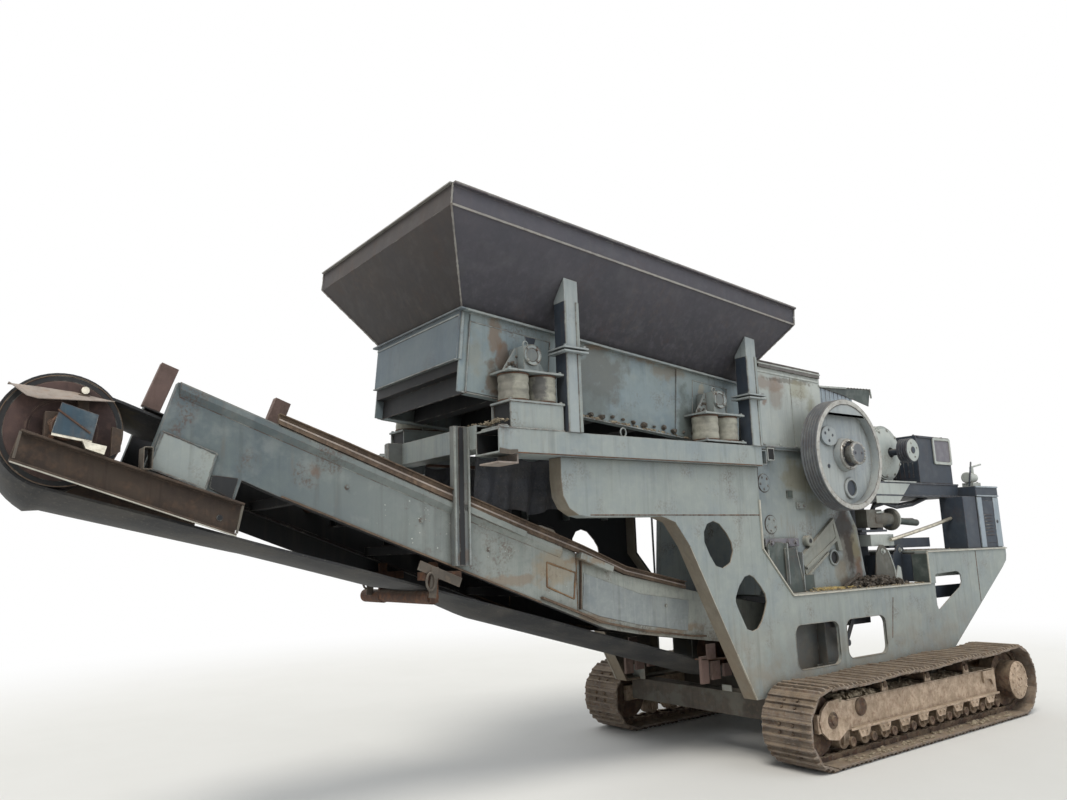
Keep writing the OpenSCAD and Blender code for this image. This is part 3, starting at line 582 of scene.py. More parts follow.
@dataclass(frozen=True)
class Palette:
    """The finishes of the machine, each built once."""

    frame: Enamel = Enamel("sprayed_enamel_grey_green", "#858d8b", "#979d97", "#7a858c", rust=0.4, dust=0.65)
    conveyor: Enamel = Enamel(
        "sprayed_enamel_conveyor_grey", "#566063", "#67716f", "#4b575f", rust=0.55, dust=0.45, corner_grime_and_shade=0.6,
        rearward="#adb0a7",
        stains_and_shadows=(
            StainAndShadow((-3.36, -0.44, 1.52), (0.22, 0.1, 0.16), "#95846a", 0.55),
            StainAndShadow((-3.05, -0.44, 1.56), (0.24, 0.1, 0.05), "#8f765b", 0.6),
            StainAndShadow((-2.95, -0.44, 1.16), (0.5, 0.1, 0.05), "#8c7a66", 0.7),
            StainAndShadow((-2.2, -0.44, 1.02), (0.4, 0.1, 0.05), "#8c7a66", 0.7),
            StainAndShadow((-3.75, -0.44, 1.45), (0.35, 0.1, 0.05), "#84725f", 0.6),
            StainAndShadow((-5.1, -0.44, 2.13), (0.05, 0.1, 0.05), "#6b4c38", 0.5),
        ),
    )
    # Near-black painted shade for inner faces, hollows, openings and parts in deep shadow.
    painted_shade: Enamel = Enamel(
        "black_painted_shade", "#17191b", "#202225", "#121417", rust=0.1, dust=0.15, corner_grime_and_shade=0.2, bloom=0.0
    )
    strap: Enamel = Enamel(
        "worn_enamel_on_channel", "#646867", "#747873", "#575e65", rust=0.4, dust=0.3, corner_grime_and_shade=0.5,
        stains_and_shadows=(
            StainAndShadow((-4.1, -0.48, 1.62), (0.1, 0.1, 0.06), "#5f4a3b", 0.5),
        ),
    )
    feeder: Enamel = Enamel(
        "sprayed_enamel_feeder_grey", "#868f8f", "#999f9a", "#74828c", rust=0.5, dust=0.5, corner_grime_and_shade=0.6
    )
    crusher: Enamel = Enamel(
        "sprayed_enamel_crusher_grey", "#7f888a", "#949a94", "#6f7c86", rust=0.6, dust=0.6, corner_grime_and_shade=0.6,
        stains_and_shadows=(
            StainAndShadow((-0.1, -0.6, 1.56), (0.24, 0.14, 0.4), "#655b4e", 0.7),
            StainAndShadow((0.02, -0.6, 1.62), (0.1, 0.14, 0.22), "#7d7250", 0.55),
            StainAndShadow((-0.14, -0.6, 1.8), (0.2, 0.14, 0.17), "#332f2d", 0.9),
            StainAndShadow((-0.09, -0.6, 1.55), (0.1, 0.14, 0.26), "#3a322d", 0.85),
            StainAndShadow((0.03, -0.6, 1.36), (0.08, 0.14, 0.16), "#6a4a35", 0.7),
            StainAndShadow((-0.16, -0.6, 1.28), (0.16, 0.14, 0.06), "#6b5746", 0.6),
            StainAndShadow((-0.26, -0.6, 1.36), (0.12, 0.12, 0.12), "#8a7f6c", 0.5),
            StainAndShadow((-0.75, -0.6, 2.2), (0.3, 0.1, 0.22), "#7b735a", 0.5),
            StainAndShadow((-0.55, -0.6, 1.95), (0.24, 0.1, 0.1), "#6c6650", 0.45),
        ),
    )
    # Lightened beyond the paint's own colour: painted light on the inlet box, which the hopper's shadow covers.
    inlet: Enamel = Enamel(
        "sprayed_enamel_pale_green_grey", "#aeb4b0", "#bdc1b9", "#9fa9ab", rust=0.35, dust=0.5, corner_grime_and_shade=0.35,
        stains_and_shadows=(
            StainAndShadow((-1.02, -0.6, 3.02), (0.26, 0.1, 0.085), "#8a6f60", 0.5),
            StainAndShadow((-0.75, -0.6, 3.06), (0.42, 0.1, 0.03), "#5d5248", 0.6),
            StainAndShadow((-0.95, -0.6, 2.93), (0.14, 0.1, 0.14), "#8f7a68", 0.45),
            StainAndShadow((-0.62, -0.6, 2.99), (0.22, 0.1, 0.12), "#8c8668", 0.45),
            StainAndShadow((-1.12, -0.6, 2.86), (0.05, 0.1, 0.05), "#7a5138", 0.6),
            StainAndShadow((-0.45, -0.6, 2.75), (0.12, 0.1, 0.26), "#7f7a5e", 0.5),
            StainAndShadow((-0.8, 0.6, 3.05), (0.4, 0.1, 0.06), "#7a5138", 0.8),
        ),
    )
    # Dark green paint that also stands as painted shade on brackets and faces that lie in shadow.
    shade: Enamel = Enamel(
        "sprayed_enamel_bottle_green", "#3c4543", "#4c5551", "#333a3e", rust=0.3, dust=0.5, corner_grime_and_shade=0.4
    )
    tan: Enamel = Enamel("dust_stained_enamel", "#7b7265", "#8a8272", "#6f6a60", rust=0.3, dust=0.4, corner_grime_and_shade=0.4)
    # A darker copy of the wheel's finish: painted shade for the rim's outer side and the shaft end.
    rim: Enamel = Enamel("belt_polished_rim_enamel", "#5e6368", "#6f7478", "#515860", rust=0.3, dust=0.3, corner_grime_and_shade=0.45)
    wheel: Enamel = Enamel(
        "sprayed_enamel_flywheel_grey", "#969d9f", "#a9ada8", "#828e98", rust=0.2, dust=0.35, corner_grime_and_shade=0.4
    )
    # The lower coat is painted shade, darker towards the bottom.
    hopper: Enamel = Enamel(
        "thin_black_primer_on_mill_scale", "#4c4b52", "#545259", "#44464e", rust=0.2, dust=0.3, corner_grime_and_shade=0.3,
        bloom=0.04, streaks=0.15, lower="#2c2b30",
    )
    # The lower coat is painted shade, darker towards the bottom.
    hopper_front: Enamel = Enamel(
        "brown_primer_on_mill_scale", "#403b3a", "#494340", "#39383d", rust=0.25, dust=0.25, corner_grime_and_shade=0.3,
        bloom=0.04, streaks=0.15, lower="#2d2a29",
    )
    front: Enamel = Enamel(
        "shaded_enamel_blue_grey", "#646f76", "#6e787b", "#566470", rust=0.2, dust=0.35, corner_grime_and_shade=0.4, bloom=0.06,
        streaks=0.12,
    )
    lid: Enamel = Enamel("enamel_dulled_to_brown_grey", "#5c5956", "#6a6763", "#54545a", rust=0.3, dust=0.35, corner_grime_and_shade=0.4)
    # A paler coat on the cheek's ribs and the plate between them.
    ridge: Enamel = Enamel("pale_ridge_enamel", "#7f827a", "#908f85", "#747b78", rust=0.08, dust=0.5, corner_grime_and_shade=0.25)
    # A darker brown-grey coat for the guard, bracket and cylinder behind the crusher.
    dark_brown_grey: Enamel = Enamel(
        "dark_brown_grey_enamel", "#55564f", "#656259", "#474a4a", rust=0.35, dust=0.5, corner_grime_and_shade=0.5
    )
    # Pale worn primer that also stands as painted highlight along the hopper's rim and seams.
    hopper_edge: Enamel = Enamel("worn_primer_edge", "#7f7d79", "#9a9892", "#6c6d6f", rust=0.3, dust=0.5, corner_grime_and_shade=0.2)
    feeder_web: Enamel = Enamel(
        "sprayed_enamel_feeder_blue_grey", "#7f8a8b", "#8f9a98", "#6c7f8d", rust=0.5, dust=0.5, corner_grime_and_shade=0.55,
        stains_and_shadows=(
            StainAndShadow((-3.93, -0.6, 3.06), (0.08, 0.1, 0.17), "#7d6a59", 0.75),
            StainAndShadow((-3.86, -0.6, 2.92), (0.075, 0.1, 0.16), "#75604f", 0.75),
            StainAndShadow((-3.95, -0.6, 2.77), (0.075, 0.1, 0.18), "#6a5b4c", 0.75),
            StainAndShadow((-4.08, -0.6, 2.95), (0.08, 0.1, 0.22), "#85857a", 0.5),
            StainAndShadow((-3.83, -0.6, 2.68), (0.2, 0.1, 0.035), "#5b4332", 0.7),
            StainAndShadow((-3.05, -0.6, 2.95), (0.34, 0.1, 0.3), "#6a6b67", 0.75),
            StainAndShadow((-3.1, -0.6, 2.7), (0.32, 0.1, 0.14), "#666c6a", 0.6),
            StainAndShadow((-2.52, -0.6, 2.78), (0.28, 0.1, 0.2), "#8b989c", 0.55),
            StainAndShadow((-2.14, -0.6, 2.66), (0.11, 0.1, 0.26), "#575f5b", 0.75),
            StainAndShadow((-2.3, -0.6, 2.98), (0.24, 0.1, 0.07), "#7c7263", 0.6),
            StainAndShadow((-2.95, -0.6, 3.12), (0.26, 0.14, 0.05), "#7d6a58", 0.7),
            StainAndShadow((-2.5, -0.6, 3.07), (0.26, 0.14, 0.05), "#80705f", 0.7),
            StainAndShadow((-1.92, -0.6, 2.83), (0.05, 0.1, 0.12), "#a9a08e", 0.6),
            StainAndShadow((-1.75, -0.6, 2.75), (0.12, 0.1, 0.2), "#59625f", 0.6),
        ),
    )
    panel: Enamel = Enamel("sprayed_enamel_purple_grey", "#68676f", "#77757b", "#5d5e68", rust=0.2, dust=0.45)
    gear: Enamel = Enamel(
        "sprayed_enamel_blue_black", "#2c343e", "#3b444f", "#252c37", rust=0.25, dust=0.4, corner_grime_and_shade=0.4,
        roughness=0.5, bloom=0.05,
    )
    pale: Enamel = Enamel("sprayed_enamel_pale_grey", "#a6aca8", "#b7bbb4", "#949f9f", rust=0.3, dust=0.5, corner_grime_and_shade=0.4)
    strips: Enamel = Enamel(
        "sprayed_enamel_pale_blue_grey", "#8b97a0", "#9aa5ac", "#7d8a95", rust=0.25, dust=0.4, corner_grime_and_shade=0.3
    )
    blue: Enamel = Enamel("scratched_enamel_slate_blue", "#2b3f4c", "#3d5360", "#22323f", rust=0.5, dust=0.4)
    post: Enamel = Enamel(
        "sprayed_enamel_post_grey", "#919a9c", "#a0a6a4", "#808c92", rust=0.15, dust=0.3, corner_grime_and_shade=0.4, streaks=0.4
    )
    rusty: RustedSteel = RustedSteel("rusted_rolled_steel", "#5d463a", "#7d553b", "#3d2f28")
    rusty_paint: RustedSteel = RustedSteel(
        "rusted_steel_with_old_enamel", "#5c564f", "#6b6054", "#4a453f", "#66655d", paint_left=0.6
    )
    red: RustedSteel = RustedSteel(
        "red_oxide_primer_on_steel", "#6d5c57", "#7a675f", "#54463f", "#725e58", paint_left=0.5
    )
    leaf: RustedSteel = RustedSteel("bare_sheet_going_rusty", "#a79d95", "#9a8474", "#7c736d", dust=0.3)
    drum: RustedSteel = RustedSteel(
        "red_oxide_primer_gone_brown", "#493a37", "#5c4943", "#362c2a", "#53413d", paint_left=0.4, dust=0.3
    )
    channel: RustedSteel = RustedSteel("rusted_rolled_channel", "#4a4038", "#5b4a3e", "#3a312c", dust=0.35)
    flange: RustedSteel = RustedSteel("rusted_folded_flange", "#665749", "#7f6c5b", "#453a32", dust=0.4)
    slate: Enamel = Enamel(
        "rain_washed_enamel_blue_grey", "#7e8688", "#a9ada8", "#6e777c", rust=0.2, dust=0.3, corner_grime_and_shade=0.4, mud_top=0.5
    )
    # Thin pale bars that are painted highlight along edges.
    painted_highlight_line: Enamel = Enamel("painted_edge_highlight", "#b4b3a8", "#c2c0b3", "#a4a69f", rust=0.15, dust=0.3, corner_grime_and_shade=0.1)
    rust_line: RustedSteel = RustedSteel("weld_seam_rust", "#84694f", "#977852", "#5f4a3b", dust=0.3)
    tracks: DustySteel = DustySteel("forged_track_steel_with_mud", "#857a70", "#564e47", "#b9b1a6", caked=0.5)
    beams: DustySteel = DustySteel("track_frame_plate_with_mud", "#beaa95", "#998775", "#c3b8a9", caked=0.6)
    rollers: DustySteel = DustySteel("cast_roller_steel", "#5a4a40", "#3a302a", "#857c72", caked=0.6)
    belt: BeltRubber = BeltRubber(
        "calendered_belt_rubber", "#232426", dust=0.25,
        stains_and_shadows=(StainAndShadow((-6.08, -0.05, 2.44), (0.14, 0.28, 0.09), "#655d44", 0.75),),
    )
    skirt: BeltRubber = BeltRubber("folded_skirt_rubber", "#44464c", dust=0.5, folds=9.0)
    mounts: BeltRubber = BeltRubber(
        "moulded_spring_rubber", "#a1a093", dust=0.5,
        # Both patches are painted shadow on the springs.
        stains_and_shadows=(
            StainAndShadow((-3.7, -0.8, 2.7), (0.055, 0.3, 0.14), "#45464b", 0.8),
            StainAndShadow((-3.96, -0.8, 2.7), (0.05, 0.3, 0.14), "#77756f", 0.6),
        ),
    )
    bare: MachinedSteel = MachinedSteel("turned_bare_steel")
    worn: MachinedSteel = MachinedSteel("worn_wheel_face_steel", "#a8a8a2", spots=0.35, roughness=0.42)
    rod: MachinedSteel = MachinedSteel("ground_rod_steel", "#c9c3b2", spots=0.2, roughness=0.3)
    cast: RustedSteel = RustedSteel("cast_manganese_steel", "#51453d", "#6b5140", "#37302b")
    earth: DriedEarth = DriedEarth("dried_clay_and_grit", "#8d8270", "#b3a893")
    damp: DriedEarth = DriedEarth("damp_clay_and_grit", "#524d47", "#77716a")
    straw: DriedEarth = DriedEarth("dry_straw", "#b9a26a", "#d6c48e")

    def build(self) -> dict[str, bpy.types.Material]:
        """Makes every finish, by its field name."""
        return {key: getattr(self, key).build() for key in self.__dataclass_fields__}


MID = 0.0
FINISH: dict[str, bpy.types.Material] = {}


def arc(centre: Pair, radius: float, start: float, end: float, steps: int) -> list[Pair]:
    """Points on an arc.

    Args:
        centre: its centre.
        radius: its radius.
        start: its first angle in degrees.
        end: its last angle in degrees.
        steps: how many straight pieces it has.

    Returns:
        The points, both ends included.
    """
    turns = [math.radians(start + (end - start) * i / steps) for i in range(steps + 1)]
    return [(centre[0] + radius * math.cos(t), centre[1] + radius * math.sin(t)) for t in turns]


def rounded(lo: Pair, hi: Pair, radius: float, steps: int = 5) -> list[Pair]:
    """A rectangle with round corners.

    Args:
        lo: its low corner.
        hi: its high corner.
        radius: the corners' radius.
        steps: the straight pieces of a corner.

    Returns:
        Its outline.
    """
    corners = [
        ((lo[0] + radius, lo[1] + radius), 180),
        ((hi[0] - radius, lo[1] + radius), 270),
        ((hi[0] - radius, hi[1] - radius), 0),
        ((lo[0] + radius, hi[1] - radius), 90),
    ]
    return [p for centre, turn in corners for p in arc(centre, radius, turn, turn + 90, steps)]


def across(axis: Vector) -> tuple[Vector, Vector]:
    """Finds two directions square to an axis and to each other.

    Args:
        axis: the axis, one long.

    Returns:
        The two directions.
    """
    other = Vector(UP) if abs(axis.z) < 0.9 else Vector(LENGTHWISE)
    first = axis.cross(other).normalized()
    return first, axis.cross(first).normalized()


class Shape:
    """A piece's mesh while it is being drawn."""

    def __init__(self, *finishes: str) -> None:
        """Starts with nothing drawn.

        Args:
            finishes: the names of its finishes, the first one in use.
        """
        self.finishes = finishes
        self.bm = bmesh.new()
        self.slot = 0
        self.dice = random.Random(7)

    def use(self, finish: str) -> None:
        """Draws what follows in another of the piece's finishes."""
        self.slot = self.finishes.index(finish)

    def face(self, corners: Sequence[bmesh.types.BMVert]) -> None:
        """Adds one face in the finish in use.

        Args:
            corners: its corners in order.
        """
        if len(set(corners)) > 2:
            made = self.bm.faces.new(corners)
            made.material_index = self.slot
            made.smooth = True

    def loft(self, rings: Sequence[Sequence[Vector]], closed: bool = False, caps: bool = True) -> None:
        """Skins a row of rings that have as many points each.

        Args:
            rings: the rings in order.
            closed: whether the last ring joins the first.
            caps: whether the two ends are closed.
        """
        made = [[self.bm.verts.new(p) for p in ring] for ring in rings]
        count = len(made[0])
        following = made[1:] + made[:1] if closed else made[1:]
        for ring, ahead in zip(made, following):
            for i in range(count):
                j = (i + 1) % count
                self.face((ring[i], ring[j], ahead[j], ahead[i]))
        if caps and not closed:
            self.face(list(reversed(made[0])))
            self.face(made[-1])

    def prism(self, outline: Sequence[Pair], lo: float, hi: float, axis: Axis = Axis.Y) -> None:
        """Draws an outline through.

        Args:
            outline: its points, in the two other directions in alphabetical order.
            lo: where it starts along the axis.
            hi: where it ends.
            axis: the direction it is drawn through.
        """
        put = {
            Axis.X: lambda p, t: Vector((t, p[0], p[1])),
            Axis.Y: lambda p, t: Vector((p[0], t, p[1])),
            Axis.Z: lambda p, t: Vector((p[0], p[1], t)),
        }[axis]
        self.loft([[put(p, t) for p in outline] for t in (lo, hi)])

    def box(self, lo: Triple, hi: Triple) -> None:
        """Draws an upright block between two corners."""
        self.prism([(lo[0], lo[1]), (hi[0], lo[1]), (hi[0], hi[1]), (lo[0], hi[1])], lo[2], hi[2], Axis.Z)

    def slab(self, lo: Pair, hi: Pair, face: float, back: float) -> None:
        """Draws a block between two corners of the X and Z plane, through two Y values in either order."""
        self.box((lo[0], min(face, back), lo[1]), (hi[0], max(face, back), hi[1]))

    def bar(self, start: Triple, end: Triple, width: float, height: float, up: Triple = UP) -> None:
        """Draws a straight flat or square bar.

        Args:
            start: the middle of one end.
            end: the middle of the other.
            width: its size sideways.
            height: its size along up.
            up: roughly the direction of its height.
        """
        a, b = Vector(start), Vector(end)
        along = (b - a).normalized()
        side = along.cross(Vector(up)).normalized() * width / 2
        rise = side.normalized().cross(along).normalized() * height / 2
        ring = [side + rise, -side + rise, -side - rise, side - rise]
        self.loft([[a + p for p in ring], [b + p for p in ring]])

    def rod(self, start: Triple, end: Triple, radius: float, sides: int = 24, tip: float | None = None) -> None:
        """Draws a round bar or a cone.

        Args:
            start: the middle of one end.
            end: the middle of the other.
            radius: its radius at the start.
            sides: how many sides the round has.
            tip: its radius at the end, if another.
        """
        self.lathe([(radius, 0.0), (radius if tip is None else tip, (Vector(end) - Vector(start)).length)],
                   start, Vector(end) - Vector(start), sides)

    def lathe(
        self, profile: Sequence[Pair], centre: Triple, axis: Sequence[float], sides: int = 48, closed: bool = False
    ) -> None:
        """Turns a profile around an axis.

        Args:
            profile: pairs of radius and distance along the axis.
            centre: where the distance is 0.
            axis: the direction of the axis.
            sides: how many sides the round has.
            closed: whether the profile is a closed loop, as for a ring.
        """
        along = Vector(axis).normalized()
        first, second = across(along)
        turns = [2 * math.pi * i / sides for i in range(sides)]
        spokes = [first * math.cos(t) + second * math.sin(t) for t in turns]
        middle = Vector(centre)
        self.loft([[middle + along * a + s * r for s in spokes] for r, a in profile], closed)

    def tube(self, points: Sequence[Sequence[float]], radii: Sequence[float] | float, sides: int = 8) -> None:
        """Draws a round bar along a path.

        Args:
            points: the path.
            radii: its radius, or one for each point.
            sides: how many sides the round has.
        """
        path = [Vector(p) for p in points]
        sizes = [radii] * len(path) if isinstance(radii, (int, float)) else list(radii)
        first = across((path[1] - path[0]).normalized())[0]
        rings = []
        for i, point in enumerate(path):
            along = (path[min(i + 1, len(path) - 1)] - path[max(i - 1, 0)]).normalized()
            first = (first - along * first.dot(along)).normalized()
            second = along.cross(first)
            turns = [2 * math.pi * k / sides for k in range(sides)]
            rings.append([point + (first * math.cos(t) + second * math.sin(t)) * sizes[i] for t in turns])
        self.loft(rings)

    def bead(self, points: Sequence[Sequence[float]], radius: float = 0.006) -> None:
        """Draws a lumpy weld along a path.

        Args:
            points: the corners of the path.
            radius: the weld's mean radius.
        """
        path = [Vector(p) for p in points]
        for a, b in zip(path, path[1:]):
            steps = max(3, int((b - a).length / (radius * 2.2)))
            spots = [a.lerp(b, i / steps) for i in range(steps + 1)]
            self.tube(spots, [radius * self.dice.uniform(0.7, 1.25) for _ in spots], 5)

    def bolt(self, centre: Triple, axis: Sequence[float], across_flats: float = 0.03) -> None:
        """Draws a hexagon head on its washer.

        Args:
            centre: the middle of its seat.
            axis: the direction it looks in.
            across_flats: the width of its head.
        """
        seat, along = Vector(centre), Vector(axis).normalized()
        self.rod(seat, seat + along * across_flats * 0.12, across_flats * 0.82, 12)
        self.rod(seat, seat + along * across_flats * 0.62, across_flats * 0.56, 6, across_flats * 0.52)

    def frame_of(self, outer: Sequence[Pair], inner: Sequence[Pair], front: float, back: float) -> None:
        """Draws an upright frame between two outlines.

        Args:
            outer: its outer outline, as X and Z.
            inner: its opening, with as many points.
            front: the Y of its one face.
            back: the Y of the other.
        """
        self.loft([[Vector((a, front, b)), Vector((c, front, d)), Vector((c, back, d)), Vector((a, back, b))]
                   for (a, b), (c, d) in zip(outer, inner)], closed=True)

    def bolt_circle(
        self, centre: Triple, radius: float, count: int, first_deg: float, across_flats: float
    ) -> None:
        """Draws bolts round a point of an upright face, all looking towards minus Y.

        Args:
            centre: the middle of the circle.
            radius: the circle's radius.
            count: how many bolts it has.
            first_deg: the angle of the first one.
            across_flats: the width of their heads.
        """
        for turn in range(count):
            a = math.radians(360 / count * turn + first_deg)
            seat = (centre[0] + radius * math.cos(a), centre[1], centre[2] + radius * math.sin(a))
            self.bolt(seat, OUTWARD, across_flats)

    def eye(self, centre: Triple, wide: float, tall: float, points: int, radius: float, sides: int = 8) -> None:
        """Draws an upright oval ring of round bar.

        Args:
            centre: its middle.
            wide: half its width along X.
            tall: half its height.
            points: how many straight pieces it has.
            radius: the bar's radius.
            sides: how many sides the bar has.
        """
        turns = [2 * math.pi * k / points for k in range(points + 1)]
        self.tube([(centre[0] + wide * math.cos(a), centre[1], centre[2] + tall * math.sin(a)) for a in turns],
                  radius, sides)

    def strew(
        self, count: int, x: Pair, y: Pair, z: float, size: Pair, rise: float = 0.0, flat: float = 0.6
    ) -> None:
        """Strews crumbs over a level patch.

        Args:
            count: how many.
            x: the patch's span along the machine.
            y: its span across.
            z: its height.
            size: the smallest and the largest radius.
            rise: how far above it a crumb may lie.
            flat: a crumb's height against its width.
        """
        for _ in range(count):
            spot = (self.dice.uniform(*x), self.dice.uniform(*y), z + rise * self.dice.random() if rise else z)
            self.clod(spot, self.dice.uniform(*size), flat)

    def clod(self, centre: Triple, size: float, flat: float = 0.6) -> None:
        """Draws a crumb of earth or a stone.

        Args:
            centre: its middle.
            size: its radius.
            flat: its height against its width.
        """
        made = bmesh.ops.create_icosphere(self.bm, subdivisions=1, radius=size)
        for vert in made["verts"]:
            vert.co *= self.dice.uniform(0.7, 1.25)
            vert.co.z *= flat
            vert.co += Vector(centre)
        for found in {f for vert in made["verts"] for f in vert.link_faces}:
            found.material_index = self.slot
            found.smooth = True

    def sheet(self, rows: Sequence[Sequence[Sequence[float]]], thickness: float) -> None:
        """Draws a bent plate from rows of points.

        Args:
            rows: the rows, with as many points each.
            thickness: the plate's thickness.
        """
        layers = []
        grid = [[Vector(p) for p in row] for row in rows]
        tall, wide = len(grid), len(grid[0])
        normals = []
        for i in range(tall):
            for j in range(wide):
                down = grid[min(i + 1, tall - 1)][j] - grid[max(i - 1, 0)][j]
                right = grid[i][min(j + 1, wide - 1)] - grid[i][max(j - 1, 0)]
                normals.append(down.cross(right).normalized() * thickness / 2)
        for sign in (-1, 1):
            layers.append(
                [[self.bm.verts.new(grid[i][j] + normals[i * wide + j] * sign) for j in range(wide)]
                 for i in range(tall)]
            )
        for i in range(tall - 1):
            for j in range(wide - 1):
                for layer in layers:
                    self.face((layer[i][j], layer[i][j + 1], layer[i + 1][j + 1], layer[i + 1][j]))
        rim = (
            [(0, j) for j in range(wide)] + [(i, wide - 1) for i in range(1, tall)]
            + [(tall - 1, j) for j in range(wide - 2, -1, -1)] + [(i, 0) for i in range(tall - 2, 0, -1)]
        )
        for (a, b), (c, d) in zip(rim, rim[1:] + rim[:1]):
            self.face((layers[0][a][b], layers[0][c][d], layers[1][c][d], layers[1][a][b]))

    def place(
        self, name: str, body: str = "frame", side: Side = Side.NEAR,
        bevel_mm: float = 0.0, replaces: Sequence[str] = (), sharp: float = 35.0,
    ) -> bpy.types.Object:
        """Closes the mesh and puts the piece on the machine.

        Args:
            name: the piece's name.
            body: the moving body it rides on.
            side: NEAR as drawn, or FAR for its mirror image.
            bevel_mm: how far its edges are rounded.
            replaces: the construction's nodes that it stands for.
            sharp: the angle in degrees over which an edge stays crisp.

        Returns:
            The placed object.
        """
        bmesh.ops.recalc_face_normals(self.bm, faces=self.bm.faces)
        if side is Side.FAR:
            bmesh.ops.scale(self.bm, vec=(1, -1, 1), verts=self.bm.verts)
            bmesh.ops.reverse_faces(self.bm, faces=self.bm.faces)
        bmesh.ops.translate(self.bm, vec=(MID, 0, 0), verts=self.bm.verts)
        mesh = bpy.data.meshes.new(name)
        self.bm.to_mesh(mesh)
        self.bm.free()
        return settle(mesh, name, self.finishes, body, bevel_mm, replaces, sharp)


def settle(
    mesh: bpy.types.Mesh, name: str, finishes: Sequence[str], body: str, bevel_mm: float,
    replaces: Sequence[str], sharp: float,
) -> bpy.types.Object:
    """Makes the object of a finished mesh and ties it to its body.

    Args:
        mesh: the mesh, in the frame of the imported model.
        name: the piece's name.
        finishes: the names of its finishes.
        body: the body it rides on.
        bevel_mm: how far its edges are rounded.
        replaces: the nodes that it stands for.
        sharp: the angle in degrees over which an edge stays crisp.

    Returns:
        The object.
    """
    for finish in finishes:
        mesh.materials.append(FINISH[finish])
    mesh.set_sharp_from_angle(angle=math.radians(sharp))
    piece = bpy.data.objects.new(name, mesh)
    bpy.context.scene.collection.objects.link(piece)
    if bevel_mm > 0:
        round_off = piece.modifiers.new("rounded_edges", "BEVEL")
        round_off.width = bevel_mm * MM
        round_off.segments = 2
        round_off.limit_method = "ANGLE"
        round_off.angle_limit = math.radians(38)
    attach(piece, body)
    if replaces:
        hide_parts(*replaces)
    LOG.info("%s: %d faces", name, len(mesh.polygons))
    return piece


def dressed(
    nodes: Nodes, node: str, finish: str, bevel_mm: float = 3.0, body: str = "frame",
    also: Sequence[tuple[str, Rule]] = (),
) -> bpy.types.Object:
    """Stands in for a node of the construction with a copy whose edges are rounded.

    Args:
        nodes: the construction's objects by name.
        node: the node that is copied.
        finish: the name of its finish.
        bevel_mm: how far its edges are rounded.
        body: the body it rides on.
        also: further finishes, each with a rule that picks its faces by their middle and direction.

    Returns:
        The copy.
    """
    mesh = nodes[node].data.copy()
    mesh.materials.clear()
    drawn = bmesh.new()
    drawn.from_mesh(mesh)
    bmesh.ops.remove_doubles(drawn, verts=drawn.verts, dist=0.02 * MM)
    bmesh.ops.dissolve_limit(drawn, angle_limit=math.radians(0.4), verts=drawn.verts, edges=drawn.edges)
    for found in drawn.faces:
        middle = found.calc_center_median() - Vector((MID, 0, 0))
        found.material_index = max([0, *[k + 1 for k, (_, rule) in enumerate(also) if rule(middle, found.normal)]])
        found.smooth = True
    drawn.to_mesh(mesh)
    drawn.free()
    return settle(mesh, node + "_dressed", [finish, *[name for name, _ in also]], body, bevel_mm, [node], 30.0)


